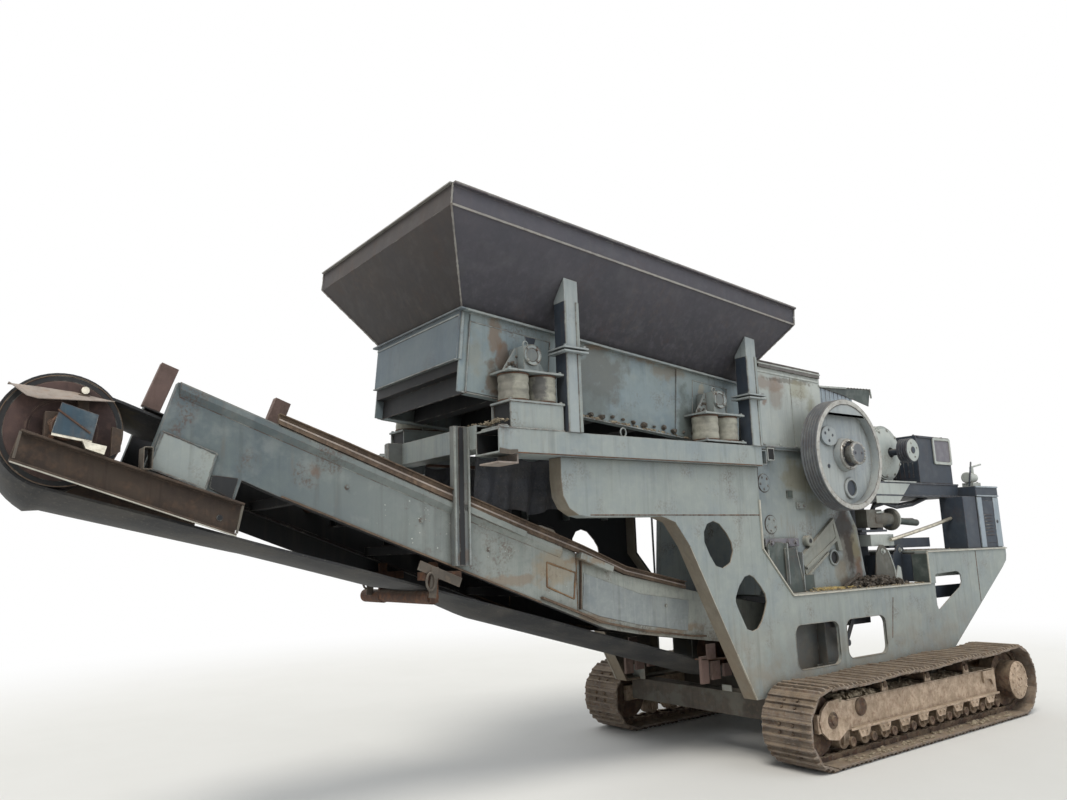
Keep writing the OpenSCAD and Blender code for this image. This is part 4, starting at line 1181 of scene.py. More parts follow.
@dataclass
class Tracks:
    """The crawler tracks: shoes on their links, rollers, beams and guards."""

    side: Side
    idler: Pair = (-1.46, 0.3)
    drive: Pair = (1.438, 0.322)
    idler_r: float = 0.266
    drive_r: float = 0.288
    shoes: int = 44
    outer_y: float = -1.25
    inner_y: float = -0.813
    link_y: Pair = (-1.1065, -0.9565)

    def path(self, share: float) -> tuple[Vector, Vector]:
        """A point of the chain and its direction.

        Args:
            share: how far round the chain it is, from 0 to 1.

        Returns:
            The point and the direction, both in the X and Z plane.
        """
        low, high = Vector(self.idler), Vector(self.drive)
        bottom = high.x - low.x
        lean = math.atan2((high.y + self.drive_r) - (low.y + self.idler_r), bottom)
        lengths = (bottom, math.pi * self.drive_r, bottom, math.pi * self.idler_r)
        run = share * sum(lengths)
        if run < lengths[0]:
            return Vector((low.x + run, 0.034)), Vector((1, 0))
        run -= lengths[0]
        if run < lengths[1]:
            turn = -math.pi / 2 + run / self.drive_r
            out = Vector((math.cos(turn), math.sin(turn)))
            return high + out * self.drive_r, Vector((-out.y, out.x))
        run -= lengths[1]
        if run < lengths[2]:
            k = run / lengths[2]
            sag = 0.016 * math.sin(math.pi * k * 3) ** 2
            top = high + Vector((0, self.drive_r))
            end = low + Vector((0, self.idler_r))
            return top.lerp(end, k) - Vector((0, sag)), Vector((-math.cos(lean), -math.sin(lean)))
        run -= lengths[2]
        turn = math.pi / 2 + run / self.idler_r
        out = Vector((math.cos(turn), math.sin(turn)))
        return low + out * self.idler_r, Vector((-out.y, out.x))

    def chain(self) -> None:
        """Draws the shoes with three bars each, and the links and pins that carry them."""
        shape = Shape("tracks", "rollers")
        bars = [(-0.083, 0.0), (-0.083, 0.01)]
        for middle, tall in ((-0.055, 0.03), (0.0, 0.034), (0.055, 0.03)):
            bars += [(middle - 0.012, 0.011), (middle - 0.006, tall), (middle + 0.006, tall), (middle + 0.012, 0.011)]
        bars += [(0.084, 0.01), (0.098, 0.002), (0.098, -0.004), (0.06, -0.004), (-0.06, -0.004)]
        link = [(-0.102, -0.012), (-0.094, 0.0), (0.07, 0.0), (0.084, -0.01), (0.084, -0.034), (0.07, -0.047),
                (0.02, -0.047), (0.0, -0.04), (-0.04, -0.04), (-0.06, -0.048), (-0.092, -0.044)]
        for i in range(self.shoes):
            at, along = self.path((i + 0.5) / self.shoes)
            out = Vector((along.y, -along.x))
            lift = shape.dice.uniform(-0.0015, 0.0015)

            def put(points: Sequence[Pair], y: float, share: float = 1.0) -> list[Vector]:
                """Points of a cross-section at one Y.

                Args:
                    points: the section, as distance along the chain and height over the links.
                    y: where it lies.
                    share: how tall the bars stand there.

                Returns:
                    The points.
                """
                made = []
                for s, n in points:
                    high = n if n <= 0.011 else 0.011 + (n - 0.011) * share
                    spot = at + along * s + out * (high + lift)
                    made.append(Vector((spot.x, y, spot.y)))
                return made

            shape.use("tracks")
            shape.loft([put(bars, self.outer_y, 0.35), put(bars, self.outer_y + 0.016), put(bars, self.inner_y - 0.016),
                        put(bars, self.inner_y, 0.35)])
            shape.use("rollers")
            for y in (self.link_y[0], self.link_y[1] - 0.034):
                shape.loft([put(link, y), put(link, y + 0.034)])
            pin = at + along * 0.066 - out * 0.024
            shape.rod((pin.x, self.link_y[0] - 0.004, pin.y), (pin.x, self.link_y[1] + 0.004, pin.y), 0.019, 12)
            for y in (self.link_y[0] + 0.017, self.link_y[1] - 0.017):
                for s in (-0.03, 0.03):
                    head = at + along * s + out * (0.01 + lift)
                    shape.bolt((head.x, y, head.y), (out.x, 0, out.y), 0.022)
        shape.place("track_chain_dressed_" + self.side.word, side=self.side, bevel_mm=1.6,
                    replaces=["track_chain_" + self.side.word])

    def beam_details(self) -> None:
        """Draws roller guards, carrier rollers, caps, lugs and the idler guard on the beam."""
        shape = Shape("beams")
        for i in range(8):
            x = -1.14 + 0.28075 * (i + 0.5)
            shape.prism([(x - 0.085, 0.24), (x + 0.085, 0.24), (x + 0.048, 0.176), (x - 0.048, 0.176)],
                        -1.1865, -1.1725)
            shape.bolt((x - 0.03, -1.1865, 0.218), OUTWARD, 0.018)
            shape.bolt((x + 0.03, -1.1865, 0.218), OUTWARD, 0.018)
        shape.box((-1.165, -1.19, 0.236), (1.13, -1.18, 0.252))
        for x in (-0.62, 0.02, 0.66):
            shape.prism([(x - 0.05, 0.447), (x + 0.05, 0.447), (x + 0.03, 0.52), (x - 0.03, 0.52)], -1.15, -1.138)
            shape.prism([(x - 0.05, 0.447), (x + 0.05, 0.447), (x + 0.03, 0.52), (x - 0.03, 0.52)], -0.925, -0.913)
        hook = [(0.905, 0.448), (1.085, 0.448), (1.11, 0.4), (1.108, 0.345), (1.085, 0.318), (1.06, 0.325),
                (1.052, 0.352), (1.03, 0.372), (0.99, 0.378), (0.945, 0.372), (0.912, 0.345), (0.9, 0.395)]
        shape.prism(hook, -1.176, -1.15)
        guard = [(-1.17, 0.25), (-1.3, 0.185), (-1.42, 0.205), (-1.5, 0.27), (-1.52, 0.34),
                 (-1.48, 0.42), (-1.4, 0.47), (-1.28, 0.478), (-1.17, 0.452)]
        shape.prism(guard, -1.166, -1.146)
        shape.bead([(-1.165, -1.16, 0.455), (-0.3, -1.16, 0.455), (1.12, -1.16, 0.455)], 0.005)
        shape.prism([(1.02, 0.34), (1.66, 0.36), (1.62, 0.5), (1.5, 0.545), (1.02, 0.535)], -0.845, -0.825)
        shape.place("track_guards_" + self.side.word, side=self.side, bevel_mm=2.5)
        parts = Shape("rollers")
        for x in (-0.62, 0.02, 0.66):
            parts.rod((x, -1.138, 0.508), (x, -0.925, 0.508), 0.046, 24)
            parts.rod((x, -1.158, 0.508), (x, -1.15, 0.508), 0.026, 16)
        for i in range(9):
            x = -1.14 + 0.28075 * i
            parts.lathe([(0.02, 0.0), (0.02, -0.004), (0.034, -0.008), (0.036, 0.012)], (x, -1.168, 0.154),
                        ACROSS, 20)
        parts.lathe([(0.062, -0.012), (0.07, -0.004), (0.07, 0.016), (0.05, 0.016)], (-0.985, -1.16, 0.388),
                    ACROSS, 24)
        parts.lathe([(0.0001, -0.018), (0.03, -0.018), (0.036, -0.006), (0.06, -0.002), (0.06, 0.02)],
                    (-1.36, -1.168, 0.335), ACROSS, 24)
        parts.bolt_circle((-1.36, -1.17, 0.335), 0.047, 6, 15, 0.014)
        parts.place("track_rollers_" + self.side.word, side=self.side, bevel_mm=1.5)
        cap = Shape("beams")
        x, z = self.drive
        cap.lathe([(0.15, 0.002), (0.166, -0.002), (0.168, -0.01), (0.15, -0.018), (0.06, -0.02),
                   (0.055, -0.026), (0.0001, -0.026)], (x, -1.2165, z), ACROSS, 40)
        cap.bolt_circle((x, -1.235, z), 0.132, 12, 0, 0.017)
        for dx in (-0.02, 0.03):
            cap.rod((x + dx, -1.2425, z + 0.01), (x + dx, -1.25, z + 0.01), 0.011, 12)
        cap.place("final_drive_cap_" + self.side.word, side=self.side, bevel_mm=1.0)

    def mud(self) -> None:
        """Heaps crumbled mud on the beam and on the links of the lower run."""
        shape = Shape("earth")
        shape.strew(190, (-1.15, 1.05), (-1.15, -0.93), 0.45, (0.006, 0.022), 0.008)
        shape.strew(110, (-1.3, 1.3), (-1.235, -1.13), 0.04, (0.006, 0.024), 0.005)
        shape.strew(60, (-1.25, -0.75), (-1.15, -1.0), 0.462, (0.012, 0.034), 0.02, 0.8)
        shape.place("track_mud_" + self.side.word, side=self.side)

    def build(self, nodes: Nodes) -> None:
        """Builds one track.

        Args:
            nodes: the construction's objects by name.
        """
        self.chain()
        self.beam_details()
        self.mud()
        dressed(nodes, "track_frame_" + self.side.word, "beams", 4)
        dressed(nodes, "track_wheels_" + self.side.word, "rollers", 3)


@dataclass
class SideFrames:
    """The two main side plates with their flanges, windows and seams."""

    face_y: float = -0.79

    def welds(self, side: Side) -> None:
        """Draws seams, stiffeners, lips and painted highlight lines along the flange on one side plate.

        Args:
            side: the side of the machine.
        """
        y = self.face_y
        shape = Shape("frame", "rusty", "painted_highlight_line")
        for lo, hi in (((-1.216, 0.64), (-0.632, 0.985)), ((-0.524, 0.665), (0.066, 0.985))):
            ring = rounded(lo, hi, 0.072, 6)
            outer = rounded((lo[0] - 0.006, lo[1] - 0.006), (hi[0] + 0.006, hi[1] + 0.006), 0.078, 6)
            rings = []
            for (a, b), (c, d) in zip(ring, outer):
                rings.append([Vector((a, y - 0.003, b)), Vector((c, y - 0.003, d)), Vector((c, y + 0.016, d)),
                              Vector((a, y + 0.03, b))])
            shape.loft(rings, closed=True)
        seams = [
            [(1.8, y, 1.0), (1.8, y, 1.515)],
            [(-3.3, y, 1.866), (-1.55, y, 1.866)],
            [(0.22, y, 1.13), (0.15, y, 0.78)],
        ]
        shape.use("rusty")
        for seam in seams:
            shape.bead(seam, 0.0045)
        shape.use("frame")
        shape.bar((0.925, y - 0.004, 1.22), (0.925, y - 0.004, 1.525), 0.09, 0.008, ACROSS)
        # Painted highlight lines along the flange's edge.
        shape.use("painted_highlight_line")
        edge = [(-1.54, 1.985), (-1.54, 1.6), (-1.205, 1.222), (0.872, 1.222), (0.872, 1.518), (2.47, 1.518)]
        for (a, b), (c, d) in zip(edge, edge[1:]):
            shape.bar((a, y - 0.004, b), (c, y - 0.004, d), 0.012, 0.016, ACROSS)
        shape.bar((-2.36, y - 0.002, 1.636), (-1.93, y - 0.002, 0.832), 0.006, 0.005, ACROSS)
        shape.bar((-1.93, y - 0.003, 0.832), (-1.745, y - 0.003, 0.486), 0.008, 0.012, ACROSS)
        shape.use("frame")
        for x in (-3.2, -2.75, -2.3, -1.85):
            shape.prism([(x - 0.006, 1.9), (x + 0.006, 1.9), (x + 0.006, 2.235), (x - 0.006, 2.235)],
                        y + 0.014, y + 0.1)
        shape.place("side_frame_seams_" + side.word, side=side, bevel_mm=1.5)

    def inner_parts(self) -> None:
        """Draws what shows through the windows: plates, a bracket and bars."""
        for side in Side:
            shape = Shape("strap", "gear")
            shape.prism([(-1.24, 0.55), (-0.6, 0.55), (-0.6, 1.12), (-1.24, 1.12)], -0.56, -0.548)
            shape.box((-0.62, -0.64, 0.56), (-0.605, -0.42, 1.12))
            shape.box((-0.7, -0.6, 0.5), (0.2, -0.585, 0.62))
            shape.box((-0.66, -0.505, 0.55), (-0.26, -0.495, 1.12))
            shape.use("gear")
            shape.box((-0.6, -0.56, 0.9), (0.2, -0.52, 1.14))
            shape.bar((-0.42, -0.6, 0.98), (-0.27, -0.6, 0.76), 0.012, 0.045)
            shape.bar((-0.12, -0.6, 0.98), (-0.27, -0.6, 0.76), 0.012, 0.045)
            shape.rod((-0.27, -0.63, 0.765), (-0.27, -0.58, 0.765), 0.03, 20)
            shape.place("window_backs_" + side.word, side=side, bevel_mm=2)
        bars = Shape("gear", "pale")
        bars.box((1.1, -0.62, 1.06), (2.02, -0.58, 1.175))
        bars.box((0.873, -0.77, 1.236), (0.881, 0.77, 1.502))
        bars.use("pale")
        bars.tube([(1.02, -0.6, 1.285), (1.55, -0.6, 1.29), (2.02, -0.6, 1.285)], 0.024, 14)
        bars.rod((1.86, -0.6, 1.287), (1.885, -0.6, 1.287), 0.038, 14)
        bars.place("rear_inner_bars", bevel_mm=1)

    def build(self, nodes: Nodes) -> None:
        """Builds both side plates, the decks and the cross members between them.

        Args:
            nodes: the construction's objects by name.
        """
        # Faces that look inwards get painted shade.
        inside = ("painted_shade", lambda p, n: n.y * p.y < -0.3 and p.x < 0.9)
        for side in Side:
            dressed(nodes, "side_frame_" + side.word, "frame", 4,
                    also=[("tan", lambda p, n: abs(n.y) < 0.5 and n.x < -0.2 and p.x < -1.2), inside])
            self.welds(side)
        self.inner_parts()
        dressed(nodes, "crusher_deck", "frame", 3)
        dressed(nodes, "rear_platform", "frame", 3)
        dressed(nodes, "track_cross_beams", "rusty_paint", 4)


@dataclass
class UpperFrame:
    """The rails that carry the hopper, with their cross members and posts."""

    outer_y: float = -0.85

    def rail_details(self, side: Side) -> None:
        """Draws welds, hole collars and patches on one rail.

        Args:
            side: the side of the machine.
        """
        shape = Shape("feeder", "rusty", "rusty_paint")
        y = self.outer_y
        shape.bead([(-3.995, y - 0.001, 2.413), (-3.6, y - 0.001, 2.413)], 0.005)
        shape.bead([(-4.06, y + 0.02, 2.425), (-4.03, y + 0.01, 2.428), (-4.0, y, 2.425)], 0.006)
        shape.eye((-2.975, y + 0.05, 2.444), 0.026, 0.032, 16, 0.006)
        shape.use("rusty")
        shape.box((-3.98, y - 0.003, 2.252), (-1.54, y + 0.004, 2.259))
        shape.use("rusty_paint")
        torn = [(-4.068, 2.246), (-3.98, 2.24), (-3.93, 2.252), (-3.93, 2.275), (-3.99, 2.27), (-4.068, 2.28)]
        shape.prism(torn, y - 0.006, y + 0.002)
        shape.place("rail_welds_" + side.word, side=side, bevel_mm=1)

    def posts(self) -> None:
        """Draws the four posts with their lips and bolted flanges, cut along the hopper's sides, with a plate of
        painted shade on each post's front face.
        """
        hopper = Hopper()
        for side in Side:
            shape = Shape("post", "gear", "frame")
            for x, low in ((-3.515, 2.95), (-1.65, 2.786)):
                rings = []
                for high in (False, True):
                    ring = []
                    for px, py in ((x, -0.863), (x + 0.12, -0.863), (x + 0.12, -0.745), (x, -0.745)):
                        ring.append(Vector((px, py, hopper.underside(px, py) if high else 2.41)))
                    rings.append(ring)
                shape.use("post")
                shape.loft(rings)
                top = min(v.z for v in rings[1]) - 0.01
                # A dark plate on the post's front face: painted shade.
                shape.use("gear")
                shape.box((x - 0.002, -0.86, 2.412), (x + 0.001, -0.748, top))
                shape.use("frame")
                shape.box((x + 0.094, -0.87, 2.412), (x + 0.12, -0.862, top))
                shape.box((x, -0.867, 2.412), (x + 0.012, -0.862, top))
                shape.use("post")
                for z in (low, low + 0.026):
                    shape.box((x - 0.045, -0.905, z), (x + 0.165, -0.715, z + 0.012))
                for px in (x - 0.022, x + 0.142):
                    shape.bolt((px, -0.885, low + 0.038), UP, 0.022)
            shape.place("hopper_posts_dressed_" + side.word, side=side, bevel_mm=2,
                        replaces=["hopper_posts"] if side is Side.NEAR else [])

    def build(self, nodes: Nodes) -> None:
        """Builds rails, cross members, posts and the crumbs that lie on them.

        Args:
            nodes: the construction's objects by name.
        """
        # The rails' inner and hollow faces get painted shade.
        inside = ("painted_shade", lambda p, n: p.z > 2.245 and (
            (n.z > 0.5 and p.z < 2.34) or (n.z < -0.5 and 2.34 < p.z < 2.408)
            or (n.y * p.y > 0 and abs(p.y) < 0.8) or (n.y * p.y < 0 and abs(p.y) > 0.8)))
        # The front cross beam's hollow faces get painted shade.
        hollow = ("painted_shade", lambda p, n: p.x < -3.5 and ((n.z > 0.5 and p.z < 2.4) or (n.z < -0.5 and p.z > 2.38)
                                                       or (n.x > 0.5 and p.x < -4.0) or (n.x < -0.5 and p.x > -3.99)))
        for side in Side:
            dressed(nodes, "rail_" + side.word, "feeder", 3, also=[inside, ("leaf", lambda p, n: p.z < 2.245)])
            self.rail_details(side)
        dressed(nodes, "upper_cross_beams", "feeder", 3, also=[hollow])
        self.posts()
        shape = Shape("earth")
        shape.strew(120, (-4.05, -3.92), (-0.84, -0.3), 2.464, (0.004, 0.016), 0.01)
        shape.strew(80, (-3.5, -1.6), (-0.83, -0.72), 2.411, (0.003, 0.01))
        shape.place("rail_crumbs")


@dataclass
class Hopper:
    """The feed hopper, its edges and corner seams."""

    origin: Pair = (-4.17, 3.21)
    tilt_deg: float = 5.4

    def tilted(self, x: float, y: float, z: float) -> Triple:
        """A point given along and square to the feeder's floor.

        Args:
            x: its distance from the front end along the floor.
            y: its distance from the middle plane.
            z: its height square to the floor.

        Returns:
            The same point in the machine's directions.
        """
        a = math.radians(self.tilt_deg)
        return (
            self.origin[0] + x * math.cos(a) + z * math.sin(a),
            y,
            self.origin[1] - x * math.sin(a) + z * math.cos(a),
        )

    def underside(self, x: float, y: float) -> float:
        """The height at which an upright line meets the outer face of a side wall.

        Args:
            x: the line's place along the machine.
            y: its distance from the middle plane.

        Returns:
            The height.
        """
        a = math.radians(self.tilt_deg)
        rise = 0.014 + (abs(y) - 0.604) / 0.4 * 0.486
        run = (x - self.origin[0] - rise * math.sin(a)) / math.cos(a)
        return self.tilted(run, y, rise)[2]

    def seams(self) -> None:
        """Draws the rim, the corner welds and the fold under the upper band, in a pale finish that is partly painted
        highlight.
        """
        t = self.tilted
        bright = Shape("hopper_edge")
        for s in (-1, 1):
            bright.bar(t(-0.36, s * 1.004, 0.642), t(2.96, s * 1.004, 0.642), 0.052, 0.01)
            bright.bead([t(-0.004, s * 0.604, 0.014), t(-0.362, s * 1.004, 0.5), t(-0.362, s * 1.004, 0.636)], 0.007)
            bright.bead([t(2.674, s * 0.604, 0.014), t(2.962, s * 1.004, 0.5), t(2.962, s * 1.004, 0.636)], 0.007)
            bright.bar(t(-0.355, s * 1.006, 0.5), t(2.955, s * 1.006, 0.5), 0.004, 0.016)
        bright.bar(t(-0.362, -1.0, 0.642), t(-0.362, 1.0, 0.642), 0.04, 0.01)
        bright.place("hopper_rim", bevel_mm=1.5)

    def build(self, nodes: Nodes) -> None:
        """Builds the hopper.

        Args:
            nodes: the construction's objects by name.
        """
        for node, finish in (("hopper_side_near", "hopper"), ("hopper_side_far", "hopper"),
                             ("hopper_front", "hopper_front"), ("hopper_rear", "hopper_front")):
            dressed(nodes, node, finish, 2.5)
        self.seams()


@dataclass
class Feeder(Hopper):
    """The feeder's box below the hopper: side plates, flanges, front plate and floor."""

    web_y: float = -0.6

    def side_details(self, side: Side) -> None:
        """Draws folded edges, doublers and dirt of one side plate.

        Args:
            side: the side of the machine.
        """
        t = self.tilted
        y = self.web_y
        shape = Shape("feeder", "gear", "earth", "damp")
        shape.bar(t(0.004, y - 0.004, -0.33), t(0.004, y - 0.004, -0.004), 0.02, 0.016, ACROSS)
        shape.bar(t(0.03, y - 0.003, -0.542), t(2.66, y - 0.003, -0.542), 0.012, 0.01)
        shape.bar(t(0.01, y - 0.056, 0.002), t(2.67, y - 0.056, 0.002), 0.006, 0.016)
        for lo, hi in ((0.06, 0.72), (2.16, 2.56)):
            corners = [t(lo, 0, -0.545)[::2], t(hi, 0, -0.545)[::2], t(hi, 0, -0.06)[::2], t(lo, 0, -0.06)[::2]]
            ring = [(c[0], y - 0.0135, c[1]) for c in corners]
            shape.bead([*ring, ring[0]], 0.0045)
        shape.use("gear")
        cut = [t(0.5, 0, -0.06)[::2], t(0.6, 0, -0.06)[::2], t(0.585, 0, -0.115)[::2], t(0.515, 0, -0.115)[::2]]
        shape.prism(cut, y - 0.0142, y - 0.01)
        shape.use("damp")
        for i in range(16):
            shape.clod(t(0.8 + 0.105 * i, y - 0.012, -0.505 + shape.dice.uniform(-0.012, 0.012)),
                       shape.dice.uniform(0.016, 0.03), 0.8)
        shape.use("earth")
        for _ in range(110):
            x = shape.dice.uniform(0.7, 2.6)
            shape.clod(t(x, y - 0.004, -0.536 + 0.008 * shape.dice.random()), shape.dice.uniform(0.004, 0.014), 0.9)
        shape.place("feeder_side_details_" + side.word, side=side, bevel_mm=1)

    def front(self) -> None:
        """Draws the folded lips of the front plate."""
        t = self.tilted
        shape = Shape("feeder")
        shape.bar(t(-0.012, -0.598, -0.332), t(-0.012, 0.598, -0.332), 0.04, 0.008)
        shape.bar(t(-0.022, -0.598, -0.03), t(-0.022, 0.598, -0.03), 0.006, 0.012)
        shape.place("feeder_front_lips", bevel_mm=1.2)

    def build(self, nodes: Nodes) -> None:
        """Builds the feeder.

        Args:
            nodes: the construction's objects by name.
        """
        for side in Side:
            dressed(nodes, "feeder_side_" + side.word, "feeder_web", 2.5)
            self.side_details(side)
        front = self.tilted(0.03, 0, 0)[0]
        # The trough's rear, low and downward faces get painted shade.
        dressed(nodes, "feeder_trough", "front", 2,
                also=[("painted_shade", lambda p, n: p.x > front + 0.02 or (n.z < -0.7 and p.z < 3.1) or p.z < 2.86)])
        self.front()


@dataclass
class SpringStations:
    """The four rubber spring mounts between feeder and rails."""

    side: Side
    stations: tuple[tuple[float, float, float, float], ...] = (
        (-3.75, 2.41, 2.6, 2.79),
        (-1.925, 2.41, 2.438, 2.64),
    )
    offset: float = 0.112
    centre_y: float = -0.724
    radius: float = 0.104

    def station(self, x: float, floor: float, low: float, high: float) -> None:
        """Draws one mount: pedestal, plates, two springs, bracket, gussets and disc.

        Args:
            x: its middle along the machine.
            floor: the rail's top.
            low: the springs' lower end.
            high: their upper end.
        """
        shape = Shape("feeder", "mounts", "rusty", "painted_shade", "strap", "damp")
        if low - floor > 0.1:
            for lo, hi in (((x - 0.215, -0.835), (x + 0.215, -0.823)), ((x - 0.215, -0.624), (x + 0.215, -0.612))):
                shape.box((lo[0], lo[1], floor), (hi[0], hi[1], low - 0.014))
            for dx in (-0.1, 0.1):
                shape.box((x + dx - 0.005, -0.823, floor), (x + dx + 0.005, -0.624, low - 0.014))
            shape.bead([(x - 0.215, -0.838, floor + 0.003), (x + 0.215, -0.838, floor + 0.003)], 0.007)
            # A block of painted shade fills the pedestal's inside.
            shape.use("painted_shade")
            shape.box((x - 0.2, -0.824, floor + 0.002), (x + 0.2, -0.623, low - 0.016))
            shape.use("feeder")
        for z0, z1 in ((low - 0.014, low), (high, high + 0.014)):
            shape.prism([(x - 0.225, -0.842), (x + 0.225, -0.842), (x + 0.225, -0.612), (x - 0.225, -0.612)],
                        z0, z1, Axis.Z)
        shape.box((x - 0.062, -0.784, high + 0.014), (x + 0.062, -0.612, high + 0.19))
        shape.prism([(x - 0.19, high + 0.014), (x + 0.19, high + 0.014), (x + 0.075, high + 0.188),
                     (x - 0.075, high + 0.188)], -0.706, -0.694)
        shape.lathe([(0.048, 0.0), (0.066, -0.002), (0.07, -0.008), (0.07, 0.012), (0.048, 0.012)],
                    (x, -0.796, high + 0.13), ACROSS, 32, closed=True)
        shape.use("strap")
        shape.lathe([(0.0001, 0.0), (0.045, 0.0), (0.045, 0.012), (0.0001, 0.012)], (x, -0.794, high + 0.13),
                    ACROSS, 24)
        shape.use("damp")
        for _ in range(34):
            share = shape.dice.random()
            shape.clod((x - 0.18 + 0.13 * share, shape.dice.uniform(-0.712, -0.69),
                        high + 0.016 + (0.165 * share) * shape.dice.uniform(0.3, 1.0)),
                       shape.dice.uniform(0.005, 0.015), 0.9)
        shape.use("feeder")
        shape.bolt_circle((x, -0.8, high + 0.13), 0.056, 4, 45, 0.013)
        shape.eye((x - 0.03, -0.76, high + 0.205), 0.018, 0.022, 12, 0.006, 6)
        for dx in (-0.205, 0.205):
            shape.bolt((x + dx, -0.822, high + 0.014), UP, 0.02)
            shape.bolt((x + dx, -0.822, low), UP, 0.02)
        shape.use("mounts")
        tall = high - low
        for dx in (-self.offset, self.offset):
            profile = [(0.0001, 0.0), (self.radius * 0.93, 0.0)]
            rings = 3
            for k in range(rings * 8 + 1):
                share = k / (rings * 8)
                bulge = 0.955 + 0.045 * abs(math.sin(math.pi * rings * share))
                profile.append((self.radius * bulge, 0.004 + (tall - 0.008) * share))
            profile += [(self.radius * 0.93, tall), (0.0001, tall)]
            shape.lathe(profile, (x + dx, self.centre_y, low), UP, 40)
        shape.use("rusty")
        for dx in (-self.offset, self.offset):
            for z in (low + 0.003, high - 0.013):
                shape.lathe([(self.radius * 0.92, 0.0), (self.radius + 0.003, 0.0), (self.radius + 0.003, 0.01),
                             (self.radius * 0.92, 0.01)], (x + dx, self.centre_y, z), UP, 40, closed=True)
        front = x < -3.0
        names = ["springs_" + self.side.word] if front else []
        shape.place(f"spring_mount_{'front' if front else 'rear'}_{self.side.word}", side=self.side, bevel_mm=1.5,
                    replaces=names)

    def build(self) -> None:
        """Builds the front and the rear mount of this side."""
        for station in self.stations:
            self.station(*station)


@dataclass
class Flywheel:
    """One of the two crusher wheels with its rim grooves, counterweight and hub."""

    side: Side
    axle: Pair = (-0.436, 2.385)
    radius: float = 0.485
    rim: float = 0.052
    face_y: float = -0.93
    back_y: float = -0.77

    def rim_ring(self) -> list[Pair]:
        """The rim's section with its belt grooves.

        Returns:
            Pairs of radius and distance from the outer face.
        """
        wide = self.face_y - self.back_y
        outer = [(self.radius - 0.004, 0.0), (self.radius, -0.004)]
        for k in range(5):
            y = -0.016 - 0.027 * k
            outer += [(self.radius, y), (self.radius - 0.013, y - 0.009), (self.radius - 0.013, y - 0.014),
                      (self.radius, y - 0.023)]
        outer += [(self.radius, wide + 0.004), (self.radius - 0.004, wide)]
        inner = self.radius - self.rim
        return outer + [(inner, wide), (inner, -0.01), (inner + 0.01, 0.0)]

    def build(self) -> None:
        """Builds the wheel."""
        x, z = self.axle
        y = self.face_y
        inner = self.radius - self.rim
        shape = Shape("wheel", "worn", "bare", "gear", "rim")
        # The rim in its darker, painted-shade finish.
        shape.use("rim")
        shape.lathe(self.rim_ring(), (x, y, z), OUTWARD, 96, closed=True)
        shape.use("wheel")
        shape.lathe([(inner - 0.001, 0.003), (inner + 0.003, 0.003), (inner + 0.003, 0.16), (inner - 0.001, 0.16)],
                    (x, y, z), ACROSS, 96, closed=True)
        shape.lathe([(inner + 0.004, 0.0), (0.138, -0.004), (0.138, 0.042), (inner + 0.004, 0.036)],
                    (x, -0.8565, z), ACROSS, 80, closed=True)
        shape.lathe([(0.1, 0.014), (0.128, 0.006), (0.139, 0.016), (0.146, 0.07), (0.14, 0.16), (0.1, 0.16)],
                    (x, y, z), ACROSS, 56, closed=True)
        turns = arc((0, 0), inner + 0.003, 50, 130, 24)
        weight = [*turns, (turns[-1][0], 0.352), (turns[0][0], 0.352)]
        shape.prism([(x + a, z + b) for a, b in weight], y + 0.005, -0.815)
        shape.prism([(x - 0.205 + 0.118 * math.cos(a), z + 0.155 + 0.085 * math.sin(a)) for a in
                     [2 * math.pi * k / 28 for k in range(28)]], -0.882, -0.84)
        shape.lathe([(0.07, 0.0), (0.088, 0.0), (0.094, 0.006), (0.094, 0.026), (0.07, 0.026)],
                    (x + 0.06, -0.876, z - 0.29), ACROSS, 40, closed=True)
        shape.use("worn")
        shape.lathe([(self.radius - 0.005, -0.0015), (inner + 0.008, -0.0015), (inner + 0.008, 0.003),
                     (self.radius - 0.005, 0.003)], (x, y, z), ACROSS, 96, closed=True)
        shape.use("bare")
        shape.lathe([(0.104, 0.006), (0.112, -0.006), (0.128, -0.006), (0.136, 0.004), (0.136, 0.018),
                     (0.104, 0.018)], (x, y, z), ACROSS, 48, closed=True)
        shape.lathe([(0.08, 0.0), (0.094, 0.0), (0.1015, 0.007), (0.1015, 0.026), (0.08, 0.026)],
                    (x, -1.0112, z), ACROSS, 48, closed=True)
        for turn in range(16):
            a = math.radians(150 + 16 * turn)
            shape.clod((x + 0.092 * math.cos(a), -1.0105, z + 0.092 * math.sin(a)), shape.dice.uniform(0.008, 0.016))
            if 4 < turn < 12:
                a += math.pi
                shape.clod((x + 0.12 * math.cos(a), y - 0.006, z + 0.12 * math.sin(a)),
                           shape.dice.uniform(0.01, 0.022))
        # The shaft end in the same darker, painted-shade finish.
        shape.use("rim")
        shape.rod((x, -1.0115, z), (x, -0.996, z), 0.082, 40)
        shape.use("gear")
        shape.lathe([(0.04, 0.0), (0.106, 0.0), (0.106, 0.006), (0.04, 0.006)], (x, y + 0.01, z), ACROSS, 40,
                    closed=True)
        shape.rod((x + 0.06, -0.8625, z - 0.29), (x + 0.06, -0.858, z - 0.29), 0.0735, 32)
        shape.rod((x - 0.225, -0.8625, z - 0.105), (x - 0.225, -0.858, z - 0.105), 0.018, 16)
        for dx, dz in ((-0.062, 0.022), (-0.01, 0.052), (0.04, 0.008), (-0.012, -0.042)):
            shape.rod((x - 0.205 + dx, -0.8835, z + 0.155 + dz), (x - 0.205 + dx, -0.878, z + 0.155 + dz), 0.013, 14)
        for dx in (-0.078, 0.078):
            shape.rod((x + dx * 0.62, -1.013, z), (x + dx * 0.62, -1.006, z), 0.013, 14)
        shape.use("bare")
        shape.bolt_circle((x, y - 0.006, z), 0.121, 6, 20, 0.016)
        shape.place("flywheel_dressed_" + self.side.word, "crusher_rotor",
                    self.side, 1.5, ["flywheel_" + self.side.word])


